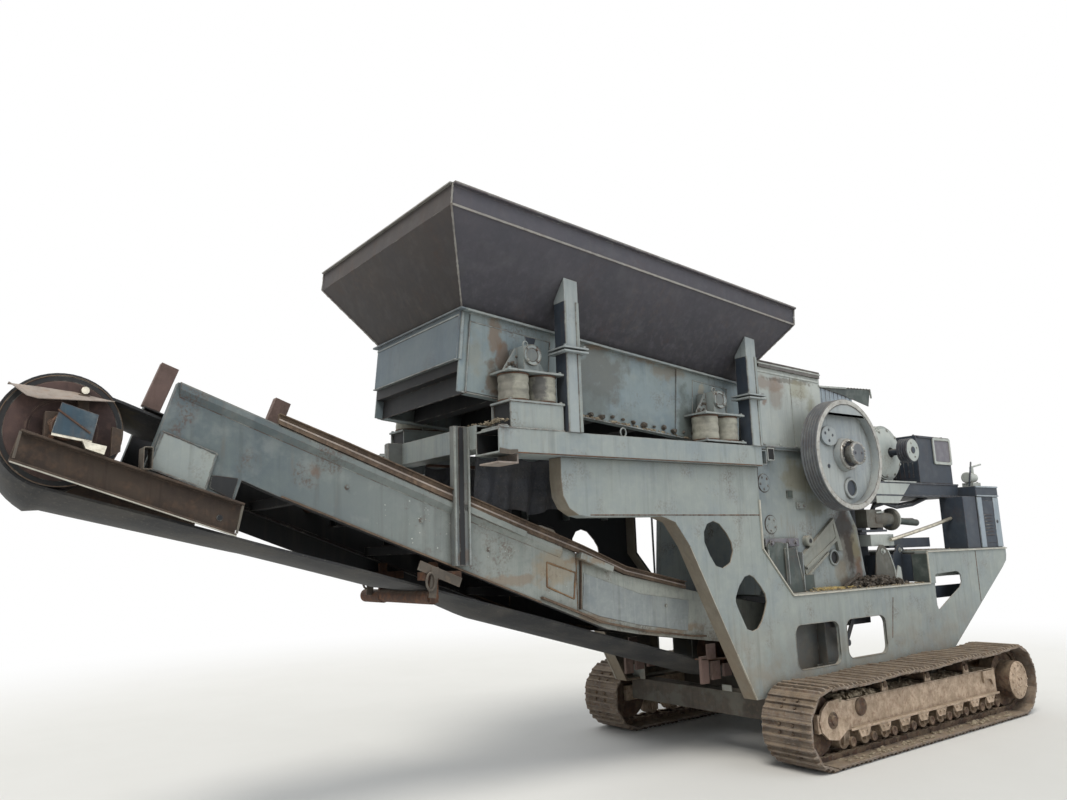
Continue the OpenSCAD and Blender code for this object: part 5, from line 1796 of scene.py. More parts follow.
@dataclass
class Crusher:
    """The jaw crusher's body: cheeks, ribs, inlet box, hood and curtain."""

    cheek_y: float = -0.6

    def cheek_details(self, side: Side) -> None:
        """Draws ribs, bolted plates, bosses, flanges and stained patches of one cheek, with painted shade in the
        bosses' hollows and painted highlight lines along the brackets' edges.

        Args:
            side: the side of the machine.
        """
        y = self.cheek_y
        shape = Shape("crusher", "shade", "panel", "ridge", "painted_shade", "pale")
        shape.use("ridge")
        shape.prism([(-0.85, 1.5), (-0.33, 1.832), (-0.3, 1.662), (-0.77, 1.42)], y - 0.022, y)
        shape.prism([(-0.775, 1.42), (-0.3, 1.655), (-0.42, 1.56), (-0.765, 1.35)], y - 0.012, y)
        shape.prism([(-0.345, 1.838), (-0.325, 1.848), (-0.225, 1.56), (-0.285, 1.56)], y - 0.026, y)
        shape.bar((-0.765, y - 0.012, 1.35), (-0.43, y - 0.012, 1.545), 0.02, 0.02, ACROSS)
        shape.lathe([(0.02, 0.0), (0.04, 0.0), (0.046, 0.006), (0.048, 0.014), (0.02, 0.014)],
                    (-0.722, y - 0.05, 1.652), ACROSS, 32, closed=True)
        # Painted shade in the hollow behind the boss ring and in the small boss's bore.
        shape.use("painted_shade")
        shape.rod((-0.34, y + 0.004, 1.502), (-0.34, y + 0.012, 1.502), 0.06, 24)
        shape.rod((-0.722, y - 0.052, 1.652), (-0.722, y - 0.04, 1.652), 0.022, 16)
        shape.use("crusher")
        shape.lathe([(0.054, 0.0), (0.066, 0.0), (0.071, 0.005), (0.071, 0.016), (0.054, 0.016)],
                    (-0.34, y - 0.016, 1.502), ACROSS, 36, closed=True)
        for cx, cz in ((-1.224, 2.143), (-1.174, 1.797)):
            # A ring of painted shade round each round cover.
            shape.use("painted_shade")
            shape.rod((cx, y - 0.003, cz), (cx, y, cz), 0.08, 36)
            shape.use("crusher")
            shape.rod((cx, y - 0.007, cz), (cx, y, cz), 0.074, 36)
            shape.bolt_circle((cx, y - 0.007, cz), 0.052, 5, 45, 0.014)
        shape.bar((-1.375, y - 0.006, 1.25), (-1.375, y - 0.006, 2.44), 0.014, 0.014, ACROSS)
        for x, z0, z1 in ((-1.066, 1.3, 1.64), (-0.872, 1.24, 1.56)):
            shape.box((x, -0.664, z0), (x + 0.012, -0.602, z1))
        shape.box((-0.815, y - 0.014, 1.93), (-0.7, y, 1.985))
        for x in (-0.795, -0.72):
            shape.bolt((x, y - 0.014, 1.958), OUTWARD, 0.02)
        shape.bead([(-1.37, y - 0.002, 1.236), (0.13, y - 0.002, 1.236)], 0.008)
        shape.bar((-1.375, y - 0.022, 2.452), (-0.2, y - 0.022, 2.452), 0.044, 0.012)
        shape.use("shade")
        foot = [(-1.29, 1.32), (-1.066, 1.3), (-1.066, 1.6), *arc((-1.116, 1.6), 0.05, 0, 90, 5)[1:],
                *arc((-1.24, 1.6), 0.05, 90, 180, 5)]
        shape.prism(foot, -0.64, -0.626)
        shape.box((-0.935, y - 0.012, 2.02), (-0.86, y, 2.085))
        shape.use("panel")
        shape.prism([(-1.29, 1.612), (-0.85, 1.612), (-0.85, 1.68), (-1.29, 1.68)], -0.626, -0.614)
        for x in (-1.235, -1.0, -0.9):
            shape.bolt((x, -0.64 if x < -1.1 else -0.626, 1.645), OUTWARD, 0.03)
        # Painted highlight lines along the brackets' edges.
        shape.use("pale")
        for a, b in (((-1.29, 1.32), (-1.29, 1.59)), ((-1.066, 1.235), (-1.066, 1.6)),
                     ((-0.848, 1.24), (-0.925, 1.58))):
            shape.bar((a[0], y - 0.046, a[1]), (b[0], y - 0.046, b[1]), 0.008, 0.01, ACROSS)
        shape.place("cheek_details_" + side.word, side=side, bevel_mm=2)

    def inlet(self) -> None:
        """Draws the lips, straps and brackets of the inlet box and the hood's edge."""
        # The inlet finish carries painted light; the dark finish is painted shade in the brackets' openings.
        shape = Shape("inlet", "painted_shade")
        for s in (-1, 1):
            shape.bar((-1.262, s * 0.612, 3.186), (-0.318, s * 0.612, 3.156), 0.02, 0.012)
            shape.bar((-1.255, s * 0.6035, 3.12), (-0.335, s * 0.6035, 3.092), 0.006, 0.022)
            shape.bar((-1.262, s * 0.62, 2.458), (-0.33, s * 0.62, 2.458), 0.04, 0.014)
            shape.use("inlet")
            shape.slab((-1.205, 2.33), (-1.115, 2.44), s * 0.6, s * 0.65)
            # Painted shade in the bracket's opening.
            shape.use("painted_shade")
            shape.slab((-1.196, 2.34), (-1.124, 2.43), s * 0.64, s * 0.6515)
            shape.use("inlet")
            for x in (-1.22, -1.0, -0.78, -0.56, -0.36):
                shape.bolt((x, s * 0.632, 2.465), UP, 0.024)
            shape.bead([(-1.262, s * 0.601, 2.47), (-1.262, s * 0.601, 3.17)], 0.005)
            shape.bead([(-0.75, s * 0.601, 2.47), (-0.75, s * 0.601, 3.1)], 0.004)
        shape.place("inlet_details", bevel_mm=1.2)

    def cover(self) -> None:
        """Draws the lid of the inlet box and the corrugated shed with its hanging strips."""
        shed = Shape("shade", "strips", "pale", "lid")
        shed.use("lid")
        shed.prism([(-1.19, 3.196), (-0.33, 3.166), (-0.33, 3.18), (-1.19, 3.21)], -0.62, 0.62)
        for s in (-1, 1):
            shed.bar((-1.19, s * 0.612, 3.176), (-0.33, s * 0.612, 3.146), 0.016, 0.05)
        shed.use("shade")
        rows = []
        for k in range(33):
            share = k / 32
            rows.append([(-0.325 + 0.83 * share, y, 3.052 + 0.04 * share + (0.0 if k % 2 else 0.01))
                         for y in (-0.604, 0.604)])
        shed.sheet(rows, 0.004)
        for s in (-1, 1):
            lo, hi = sorted((s * 0.598, s * 0.604))
            shed.prism([(-0.325, 3.05), (0.503, 3.09), (0.452, 2.925), (0.08, 2.994)], lo, hi)
            shed.use("pale")
            shed.bar((-0.325, s * 0.606, 3.052), (0.1, s * 0.606, 3.074), 0.01, 0.016)
            shed.bar((0.498, s * 0.604, 3.1), (0.512, s * 0.604, 3.01), 0.012, 0.014, ACROSS)
            shed.use("strips")
            for k in range(16):
                x = -0.318 + 0.032 * k
                lo, hi = sorted((s * 0.588, s * (0.594 + 0.003 * (k % 2))))
                shed.prism([(x, 2.84), (x + 0.029, 2.84), (x + 0.029, 3.045), (x, 3.045)], lo, hi)
            shed.use("shade")
        shed.place("lid_and_shed_dressed", bevel_mm=0.8, replaces=["crusher_hood"])

    def deck_debris(self) -> None:
        """Strews straw, clods and dust over the deck and the platform."""
        shape = Shape("earth", "straw", "damp")
        dice = shape.dice
        shape.strew(200, (-0.85, 0.85), (-0.785, -0.61), 1.233, (0.004, 0.015))
        shape.strew(90, (-1.18, 0.85), (0.61, 0.785), 1.233, (0.004, 0.016))
        shape.strew(90, (0.92, 1.95), (-0.64, -0.4), 1.533, (0.003, 0.012))
        shape.use("damp")
        for _ in range(260):
            share = dice.random()
            shape.clod((-0.26 + 0.86 * share, dice.uniform(-0.74, -0.615), 1.238 + 0.085 * dice.random()
                        * math.sin(math.pi * share) ** 0.8), dice.uniform(0.007, 0.025), 0.8)
        shape.bar((-0.36, -0.7, 1.25), (-0.06, -0.66, 1.35), 0.018, 0.014)
        shape.use("straw")
        for _ in range(150):
            x, y, turn = dice.triangular(-0.85, -0.1, -0.6), dice.uniform(-0.785, -0.65), dice.uniform(0, math.pi)
            long = dice.uniform(0.02, 0.06)
            z = 1.236 + dice.uniform(0.0, 0.018)
            shape.tube([(x, y, z), (x + long * math.cos(turn), min(-0.61, max(-0.789, y + long * math.sin(turn))),
                                    z + dice.uniform(-0.004, 0.01))], 0.0016, 4)
        shape.place("deck_debris")

    def build(self, nodes: Nodes) -> None:
        """Builds the crusher without its wheels.

        Args:
            nodes: the construction's objects by name.
        """
        ribs = ("ridge", lambda p, n: -0.9 < p.x < -0.25 and 1.39 < p.z < 1.86 and 0.602 < abs(p.y) < 0.64)
        # The cheek's low block takes the dark finish, which is partly painted shade.
        low_block = ("shade", lambda p, n: -1.1 < p.x < -0.71 and abs(p.y) > 0.603 and p.z < 1.61)
        for node in ("crusher_cheek_near", "crusher_cheek_far", "crusher_end_walls"):
            dressed(nodes, node, "crusher", 4, also=[ribs, low_block] if "cheek" in node else [])
        # The inlet box's finish is lightened as painted light.
        dressed(nodes, "crusher_inlet_box", "inlet", 2)
        dressed(nodes, "crusher_bearings", "crusher", 4)
        dressed(nodes, "fixed_jaw", "cast", 4)
        dressed(nodes, "swing_jaw", "cast", 4)
        dressed(nodes, "crusher_shaft", "bare", 3, "crusher_rotor")
        for side in Side:
            self.cheek_details(side)
        self.inlet()
        self.cover()
        self.deck_debris()


@dataclass
class RearGear:
    """The toggle gear, motor, pulley, beam, housings and pipes behind the crusher."""

    motor: Pair = (0.835, 2.495)
    motor_r: float = 0.265

    def motor_details(self) -> None:
        """Draws the motor's fins, bands, eye, end bell and terminal box."""
        x, z = self.motor
        shape = Shape("pale")
        for turn in range(40):
            a = math.radians(9 * turn)
            if 225 < 9 * turn < 315:
                continue
            mid = (x + (self.motor_r + 0.006) * math.cos(a), z + (self.motor_r + 0.006) * math.sin(a))
            shape.bar((mid[0], -0.44, mid[1]), (mid[0], 0.12, mid[1]), 0.006, 0.022,
                      (math.cos(a), 0, math.sin(a)))
        for y in (-0.47, 0.15):
            shape.lathe([(self.motor_r - 0.01, 0.0), (self.motor_r + 0.014, 0.0), (self.motor_r + 0.014, 0.03),
                         (self.motor_r - 0.01, 0.03)], (x, y - 0.015, z), ACROSS, 56, closed=True)
        shape.lathe([(0.05, -0.055), (0.12, -0.05), (0.18, -0.03), (0.25, -0.004), (0.25, 0.01),
                     (0.05, 0.01)], (x, -0.505, z), ACROSS, 48, closed=True)
        shape.bolt_circle((x, -0.517, z), 0.232, 10, 9, 0.02)
        shape.eye((x - 0.02, -0.15, z + self.motor_r + 0.035), 0.03, 0.036, 14, 0.01)
        shape.box((x - 0.09, -0.27, z + self.motor_r - 0.02), (x + 0.12, -0.02, z + self.motor_r + 0.018))
        shape.place("motor_details", bevel_mm=1.2)

    def pulley(self) -> None:
        """Draws the grooved pulley on the motor's shaft."""
        x, z = self.motor
        wheel = Shape("gear", "pale")
        ring = [(0.112, 0.0), (0.119, -0.004)]
        for k in range(4):
            y = -0.008 - 0.024 * k
            ring += [(0.119, y), (0.109, y - 0.007), (0.109, y - 0.012), (0.119, y - 0.019)]
        ring += [(0.119, -0.104), (0.112, -0.108), (0.04, -0.108), (0.04, 0.0)]
        wheel.lathe(ring, (x, -0.788, z), OUTWARD, 48, closed=True)
        wheel.use("pale")
        wheel.lathe([(0.03, 0.0), (0.108, 0.0), (0.108, 0.004), (0.03, 0.004)], (x, -0.7915, z), ACROSS, 40,
                    closed=True)
        wheel.bolt_circle((x, -0.7915, z), 0.07, 4, 20, 0.013)
        wheel.use("gear")
        wheel.rod((x, -0.796, z), (x, -0.5, z), 0.033, 24)
        wheel.place("motor_pulley_dressed", "motor_rotor", bevel_mm=0.8, replaces=["motor_pulley"])

    @staticmethod
    def cooler() -> None:
        """Draws the cooler's front frame, panel, grilles, bolts and seams."""
        shape = Shape("pale", "panel", "gear")
        shape.frame_of(rounded((1.55, 2.4), (1.9, 2.68), 0.02, 2), rounded((1.578, 2.428), (1.872, 2.652), 0.012, 2),
                       -0.604, -0.616)
        shape.use("panel")
        shape.box((1.578, -0.609, 2.428), (1.872, -0.6, 2.652))
        shape.use("gear")
        for k in range(22):
            for s in (-1, 1):
                x, y = 1.903 if s > 0 else 1.247, -0.54 + 0.049 * k
                shape.bar((x, y, 2.26), (x, y, 2.64), 0.008, 0.01, LENGTHWISE)
        for x in (1.3, 1.85):
            for y in (-0.55, 0.55):
                shape.bolt((x, y, 2.69), UP, 0.022)
        shape.bar((1.27, -0.606, 2.676), (1.885, -0.606, 2.676), 0.012, 0.02)
        shape.bar((-0.055, -0.604, 2.192), (1.985, -0.604, 2.192), 0.01, 0.016)
        shape.bar((-0.055, -0.604, 2.068), (1.985, -0.604, 2.068), 0.01, 0.016)
        shape.place("cooler_details", bevel_mm=1)

    @staticmethod
    def cabinet() -> None:
        """Draws the rear cabinet's posts, seams, door, louvres and lock."""
        cab = Shape("strips", "gear")
        for lo, hi in ((2.0, 2.095), (2.335, 2.45)):
            cab.box((lo, -0.779, 1.535), (hi, -0.768, 2.055))
        cab.bar((1.992, -0.782, 2.163), (2.456, -0.782, 2.163), 0.01, 0.016)
        cab.bar((1.992, -0.782, 2.068), (2.456, -0.782, 2.068), 0.01, 0.014)
        cab.use("gear")
        cab.box((2.095, -0.774, 1.58), (2.335, -0.768, 2.02))
        for k in range(7):
            cab.bar((2.12, -0.777, 1.66 + 0.035 * k), (2.28, -0.777, 1.66 + 0.035 * k), 0.01, 0.006, (0, 0.5, 1))
        cab.rod((2.375, -0.785, 1.8), (2.375, -0.777, 1.8), 0.016, 16)
        cab.place("cabinet_details", bevel_mm=1)

    @staticmethod
    def pump() -> None:
        """Draws the hand pump on the cabinet with its lever and handle."""
        pump = Shape("pale", "gear")
        pump.lathe([(0.0001, 0.0), (0.05, 0.0), (0.058, 0.01), (0.058, 0.1), (0.046, 0.115), (0.046, 0.17),
                    (0.03, 0.18), (0.0001, 0.18)], (2.1, -0.64, 2.272), LENGTHWISE, 28)
        pump.box((2.12, -0.7, 2.171), (2.28, -0.58, 2.215))
        pump.rod((2.2, -0.66, 2.3), (2.2, -0.66, 2.385), 0.02, 16)
        pump.rod((2.2, -0.66, 2.385), (2.33, -0.7, 2.415), 0.009, 12)
        for x in (2.14, 2.26):
            pump.bolt((x, -0.675, 2.215), UP, 0.018)
        pump.use("gear")
        handle = [(2.03, -0.7, 2.171), (2.02, -0.72, 2.26), (2.035, -0.73, 2.35), (2.075, -0.72, 2.41),
                  (2.12, -0.7, 2.43)]
        pump.tube(handle, 0.009, 10)
        pump.place("pump_and_handle", bevel_mm=1)

    def gear_front(self) -> None:
        """Draws the curved guard's edge as a painted highlight line, the rods, the adjusting cylinder and the boxes on
        the platform.
        """
        shape = Shape("pale", "rod", "gear", "dark_brown_grey", "shade")
        shape.use("dark_brown_grey")
        guard = [(0.31, 1.232), (0.322, 1.232), (0.475, 1.592), (0.46, 1.598)]
        shape.prism(guard, -0.596, -0.56)
        shape.prism([(0.267, 1.232), (0.331, 1.532), *arc((0.43, 1.512), 0.085, 165, 25, 7), (0.6, 1.36),
                     (0.604, 1.232)], -0.606, -0.594)
        shape.use("gear")
        shape.prism([(0.68, 1.232), (0.749, 1.523), *arc((0.862, 1.512), 0.08, 170, 20, 7), (0.95, 1.4),
                     (0.955, 1.232)], -0.526, -0.512)
        shape.box((0.73, -0.5, 1.56), (1.48, -0.44, 1.655))
        shape.use("shade")
        shape.box((0.86, -0.794, 1.236), (0.872, -0.64, 1.5))
        # A painted highlight line along the bracket's curved edge.
        shape.use("pale")
        edge = [(0.604, -0.608, 1.24), (0.602, -0.608, 1.36), (0.56, -0.608, 1.46), (0.512, -0.608, 1.55)]
        for a, b in zip(edge, edge[1:]):
            shape.bar(a, b, 0.014, 0.01, ACROSS)
        shape.prism([(0.56, 1.236), (0.7, 1.236), (0.69, 1.38), (0.65, 1.4)], -0.622, -0.61)
        shape.box((0.33, -0.56, 1.585), (0.72, -0.44, 1.695))
        shape.bolt((0.43, -0.606, 1.535), OUTWARD, 0.036)
        shape.bolt((0.86, -0.526, 1.54), OUTWARD, 0.03)
        shape.prism([(0.42, 2.195), (1.05, 2.195), (0.8, 1.99), (0.42, 1.99)], -0.608, -0.598)
        shape.bar((0.575, -0.606, 2.203), (1.152, -0.606, 2.203), 0.016, 0.014)
        shape.use("dark_brown_grey")
        shape.lathe([(0.0001, 0.0), (0.07, 0.0), (0.078, 0.01), (0.078, 0.2), (0.066, 0.21), (0.066, 0.33),
                     (0.098, 0.338), (0.104, 0.35), (0.104, 0.385), (0.05, 0.396), (0.0001, 0.404)],
                    (0.438, -0.495, 1.84), LENGTHWISE, 32)
        shape.box((0.3, -0.56, 1.76), (0.56, -0.44, 1.93))
        shape.use("pale")
        shape.lathe([(0.1, 0.0), (0.11, 0.004), (0.11, 0.014), (0.1, 0.018)], (0.8, -0.495, 1.84), LENGTHWISE,
                    40, closed=True)
        shape.bar((0.45, -0.567, 1.9), (0.58, -0.567, 1.91), 0.012, 0.016)
        shape.use("rod")
        shape.tube([(0.6, -0.6, 1.64), (0.95, -0.612, 1.7), (1.35, -0.622, 1.77), (1.72, -0.622, 1.84)], 0.018, 12)
        shape.use("shade")
        shape.rod((0.842, -0.495, 1.83), (1.27, -0.495, 1.805), 0.034, 20)
        shape.place("rear_gear_details", bevel_mm=1.2)

    @staticmethod
    def pipes() -> None:
        """Draws the three fixed pipes behind the crusher."""
        hoses = Shape("gear")
        for k, (x0, z0) in enumerate(((0.52, 1.9), (0.6, 1.93), (0.68, 1.9))):
            y = -0.47 + 0.045 * k
            hoses.tube([(x0, y, z0), (x0 + 0.06, y, z0 + 0.07), (x0 + 0.2, y - 0.02, z0 + 0.1),
                        (x0 + 0.42, y - 0.02, z0 + 0.06), (x0 + 0.75, y, z0 + 0.09), (x0 + 1.05, y, z0 + 0.165)],
                       0.013, 10)
        hoses.place("fixed_pipes")

    def build(self, nodes: Nodes) -> None:
        """Builds the rear gear.

        Args:
            nodes: the construction's objects by name.
        """
        for node, finish, bevel in (
            ("toggle_gear", "gear", 3), ("drive_motor", "pale", 4), ("motor_beam", "gear", 4),
            ("cooler_box", "gear", 5), ("rear_cabinet", "gear", 5),
        ):
            dressed(nodes, node, finish, bevel)
        self.motor_details()
        self.pulley()
        self.cooler()
        self.cabinet()
        self.pump()
        self.gear_front()
        self.pipes()


@dataclass
class Conveyor:
    """The discharge conveyor: belt loop, stringers' details, head and tail ends."""

    head: Pair = (-6.41, 2.315)
    head_r: float = 0.302
    tail: Pair = (-1.0, 0.7)
    tail_r: float = 0.19
    low_bend: Pair = (-4.2, 1.395)
    top_bend: Pair = (-2.75, 1.31)
    half_width: float = 0.325
    thickness: float = 0.014
    web_y: float = -0.44
    channel_y: float = -0.49

    def loop(self) -> list[tuple[Pair, float]]:
        """The belt's outer line with how much it troughs at each point.

        Returns:
            Points of the X and Z plane, each with the depth of the trough there.
        """
        drum = arc(self.head, self.head_r, 40, 254, 30)
        tail = arc(self.tail, self.tail_r, 257, 436, 16)
        slack = [-0.1 * max(0.0, (7.133 * k - 155) / 59) ** 1.3 for k in range(31)]
        line: list[tuple[Pair, float]] = list(zip(drum, slack))

        def strand(start: Pair, end: Pair, steps: int, depth: float, held: bool = False) -> None:
            """Adds the points of one straight run between its ends.

            Args:
                start: where the run begins.
                end: where it ends.
                steps: how many straight pieces it has.
                depth: how deep it troughs, below zero for the run under the rollers.
                held: whether it hangs free of rollers and flattens towards its end.
            """
            for k in range(1, steps):
                share = k / steps
                x, z = start[0] + (end[0] - start[0]) * share, start[1] + (end[1] - start[1]) * share
                ease = min(1.0, abs(x - self.tail[0]) / 0.6)
                if held:
                    ease = 0.3 + 0.34 * max(0.0, 1.0 - abs(x - start[0]) / 1.15) ** 0.8
                if depth < 0:
                    ease = min(ease, max(0.12, abs(x - self.low_bend[0] + 0.07) / 0.45 - 0.1))
                line.append(((x, z), depth * min(1.0, ease)))

        strand(drum[-1], self.low_bend, 34, -0.12, True)
        line.append((self.low_bend, -0.012))
        strand(self.low_bend, tail[0], 34, -0.085)
        line += [(p, 0.0) for p in tail]
        strand(tail[-1], self.top_bend, 18, 0.06)
        line.append((self.top_bend, 0.06))
        slack_end = (-5.45, 2.3)
        strand(self.top_bend, slack_end, 36, 0.06)
        line += [(slack_end, 0.06), ((-5.62, 2.33), 0.06), ((-5.78, 2.355), 0.058), ((-5.915, 2.386), 0.05),
                 ((-6.044, 2.445), 0.034), ((-6.12, 2.484), 0.014)]
        return line

    def belt(self) -> None:
        """Draws the belt as one endless troughed band."""
        line = self.loop()
        shape = Shape("belt")
        rings = []
        count = len(line)
        for i, ((x, z), depth) in enumerate(line):
            before, after = Vector(line[i - 1][0]), Vector(line[(i + 1) % count][0])
            along = (after - before).normalized()
            out = Vector((-along.y, along.x)) * -1
            ring = []
            wobble = 0.006 * noise.noise(Vector((x * 1.3, 3.1, z)))
            for layer, inward in ((1, 0.0), (-1, self.thickness)):
                steps = range(13) if layer > 0 else range(12, -1, -1)
                for k in steps:
                    across_share = k / 6 - 1
                    edge = abs(across_share) ** 2.2
                    rise = (edge - 0.5 * (depth > 0)) * abs(depth) if depth > 0 else (1 - edge) * abs(depth)
                    rise += wobble * abs(across_share) if depth else 0.0
                    spot = Vector((x, z)) + out * (rise - inward)
                    ring.append(Vector((spot.x, across_share * self.half_width, spot.y)))
            rings.append(ring)
        shape.loft(rings, closed=True)
        shape.place("belt_loop", replaces=["conveyor_belt"], sharp=50)

    def stringer_details(self, side: Side) -> None:
        """Draws rails, lips, patches, welds and rust of one stringer.

        Args:
            side: the side of the machine.
        """
        y = self.web_y
        shape = Shape("conveyor", "flange", "rust_line", "painted_shade", "frame", "pale", "slate", "leaf")
        patch = [(-5.95, 2.324), (-5.665, 2.215), (-5.721, 2.019), (-6.01, 2.126)]
        if side is Side.NEAR:
            shape.use("frame")
            shape.prism(patch, y - 0.01, y)
            shape.use("conveyor")
            shape.bead([(a, y - 0.008, b) for a, b in [*patch, patch[0]]], 0.007)
            # A dark plate of painted shade beside the patch.
            shape.use("painted_shade")
            shape.prism([(-5.69, 2.1), (-5.545, 2.085), (-5.575, 1.966), (-5.7, 2.03)], y - 0.006, y)
        shape.use("conveyor")
        top = [(-5.872, 2.6), (-5.2, 2.352), (-4.2, 1.98), (-3.3, 1.67)]
        lip = [(-0.085, 0.0), (-0.045, -0.03), (-0.014, -0.03), (-0.002, -0.02), (-0.002, 0.0)]
        shape.loft([[Vector((px, y + out, pz + drop)) for drop, out in lip] for px, pz in top])
        shape.use("flange")
        rail = [(-5.331, 2.4, 0.056), (-4.95, 2.258, 0.066), (-4.27, 2.004, 0.072), (-3.6, 1.765, 0.07),
                (-3.12, 1.605, 0.058), (-2.72, 1.452, 0.052), (-2.1, 1.316, 0.05)]
        shape.loft([[Vector((px, y + out, pz + up)) for up, out in
                     ((0.0, -0.034), (tall * 0.45, -0.034), (tall * 0.5, -0.026), (tall * 0.94, -0.026),
                      (tall, -0.046), (tall + 0.006, -0.046), (tall + 0.006, -0.006), (0.0, -0.006))]
                    for px, pz, tall in rail])
        # A pale strip along the middle of the rail: a painted highlight line.
        shape.use("leaf")
        shape.loft([[Vector((px, y + out, pz + tall * up)) for up, out in
                     ((0.4, -0.037), (0.56, -0.037), (0.56, -0.024), (0.4, -0.024))] for px, pz, tall in rail])
        shape.use("conveyor")
        shape.bar((-3.16, y - 0.03, 1.6), (-2.86, y - 0.03, 1.492), 0.06, 0.046)
        shape.bar((-4.12, y - 0.04, 1.938), (-3.62, y - 0.04, 1.752), 0.02, 0.04)
        weld = [(-3.42, 1.56), (-3.17, 1.48), (-3.19, 1.3), (-3.425, 1.395)]
        shape.use("rust_line")
        shape.bead([(a, y - 0.001, b) for a, b in [*weld, weld[0]]], 0.007)
        shape.bead([(-3.16, y - 0.001, 1.2), (-3.16, y - 0.001, 1.615)], 0.004)
        shape.use("flange")
        shape.bar((-5.3, y - 0.004, 1.988), (-3.48, y - 0.004, 1.294), 0.012, 0.01)
        low = [(-3.48, 1.325), (-3.186, 1.215), (-2.963, 1.128), (-2.579, 1.042), (-2.057, 0.958), (-1.9, 0.945)]
        for (a, b), (c, d) in zip(low, low[1:]):
            shape.bar((a, y - 0.005, b), (c, y - 0.005, d), 0.014, 0.055, ACROSS)
        shape.bar((-3.145, y - 0.003, 1.225), (-3.125, y - 0.003, 1.56), 0.008, 0.04, ACROSS)
        if side is Side.NEAR:
            shape.use("slate")
            shape.prism([(-3.095, 1.475), (-3.118, 1.225), (-2.963, 1.166), (-2.579, 1.078), (-2.075, 0.996),
                         (-2.045, 1.225), (-2.55, 1.3)], y - 0.0035, y)
        shape.use("conveyor")
        for x, z in ((-4.9, 2.05), (-4.4, 1.85), (-3.9, 1.66), (-2.3, 1.2), (-1.6, 1.06)):
            shape.bolt((x, y, z), OUTWARD, 0.02)
        shape.use("pale")
        for _ in range(70):
            x = shape.dice.triangular(-4.75, -2.9, -4.45)
            z = 2.6 - 0.375 * (x + 5.88) - shape.dice.uniform(0.1, 0.38)
            shape.rod((x, y - 0.0015, z), (x, y, z), shape.dice.uniform(0.002, 0.006), 6)
        shape.place("stringer_details_" + side.word, side=side, bevel_mm=1)

    @staticmethod
    def idlers() -> None:
        """Draws the trough rollers, and their brackets and cross bars in painted shade."""
        shape = Shape("rollers", "painted_shade")
        a = math.radians(19.2)
        for k in range(1, 9):
            x = -5.85 + 0.4 * k
            z = 2.6 - (x + 6.3107) * math.tan(a) - 0.06
            for s in (-1, 1):
                shape.use("rollers")
                start, end = (x, s * 0.13, z - 0.048), (x, s * 0.345, z + 0.046)
                shape.rod(start, end, 0.036, 20)
                # The brackets are painted shade.
                shape.use("painted_shade")
                shape.bar((x, s * 0.352, z - 0.11), (x, s * 0.36, z + 0.075), 0.008, 0.04, LENGTHWISE)
                shape.rod(end, (x, s * 0.366, z + 0.055), 0.01, 8)
            shape.use("painted_shade")
            shape.bar((x, -0.378, z - 0.115), (x, 0.378, z - 0.115), 0.05, 0.01)
        shape.place("trough_idlers", bevel_mm=1)

    @staticmethod
    def hangers() -> None:
        """Draws the return roller's hangers, the hanger straps' ribs with painted shade between them, and a sheet of
        painted shade on the far stringer's inside.
        """
        hang = Shape("rusty_paint", "rusty", "frame", "painted_shade")
        for s in (-1, 1):
            hang.use("rusty_paint")
            hang.bar((-4.31, s * 0.449, 1.56), (-4.33, s * 0.449, 1.37), 0.012, 0.05, LENGTHWISE)
            hang.eye((-4.345, s * 0.46, 1.47), 0.03, 0.055, 14, 0.008)
            hang.bar((-4.42, s * 0.445, 1.575), (-4.12, s * 0.445, 1.455), 0.01, 0.06)
        hang.use("rusty")
        hang.rod((-4.27, 0.34, 1.362), (-4.27, 0.63, 1.362), 0.046, 24)
        hang.use("frame")
        for s in (-1, 1):
            for x in (-4.179, -4.076):
                hang.slab((x - 0.006, 1.562), (x + 0.006, 2.455), s * 0.49, s * 0.504)
            # Painted shade between the ribs.
            hang.use("painted_shade")
            hang.slab((-4.15, 1.562), (-4.11, 2.455), s * 0.49, s * 0.494)
            hang.use("frame")
        # A sheet of painted shade on the far stringer's inside.
        hang.use("painted_shade")
        hang.bar((-5.4, 0.432, 1.965), (-3.5, 0.432, 1.24), 0.008, 0.16)
        hang.place("return_hangers", bevel_mm=1)

    def channel_details(self) -> None:
        """Draws the head channels' lips, bearing parts, plates and tube ends, with a painted highlight line along each
        lower lip and a disc of painted shade for a hole.
        """
        y = self.channel_y
        for side in Side:
            shape = Shape("channel", "rusty_paint", "blue", "rod", "rusty", "painted_highlight_line", "painted_shade")
            shape.bar((-6.635, y - 0.004, 2.141), (-5.562, y - 0.004, 1.774), 0.012, 0.012)
            shape.bar((-6.598, y - 0.004, 2.288), (-5.522, y - 0.004, 1.94), 0.012, 0.01)
            # Painted highlight line along the lower lip.
            shape.use("painted_highlight_line")
            shape.bar((-6.638, y - 0.008, 2.134), (-5.562, y - 0.008, 1.767), 0.006, 0.007)
            shape.use("rusty_paint")
            shape.bar((-6.622, y - 0.002, 2.15), (-6.6, y - 0.002, 2.282), 0.01, 0.012)
            shape.bar((-5.56, y - 0.002, 1.782), (-5.53, y - 0.002, 1.932), 0.01, 0.012)
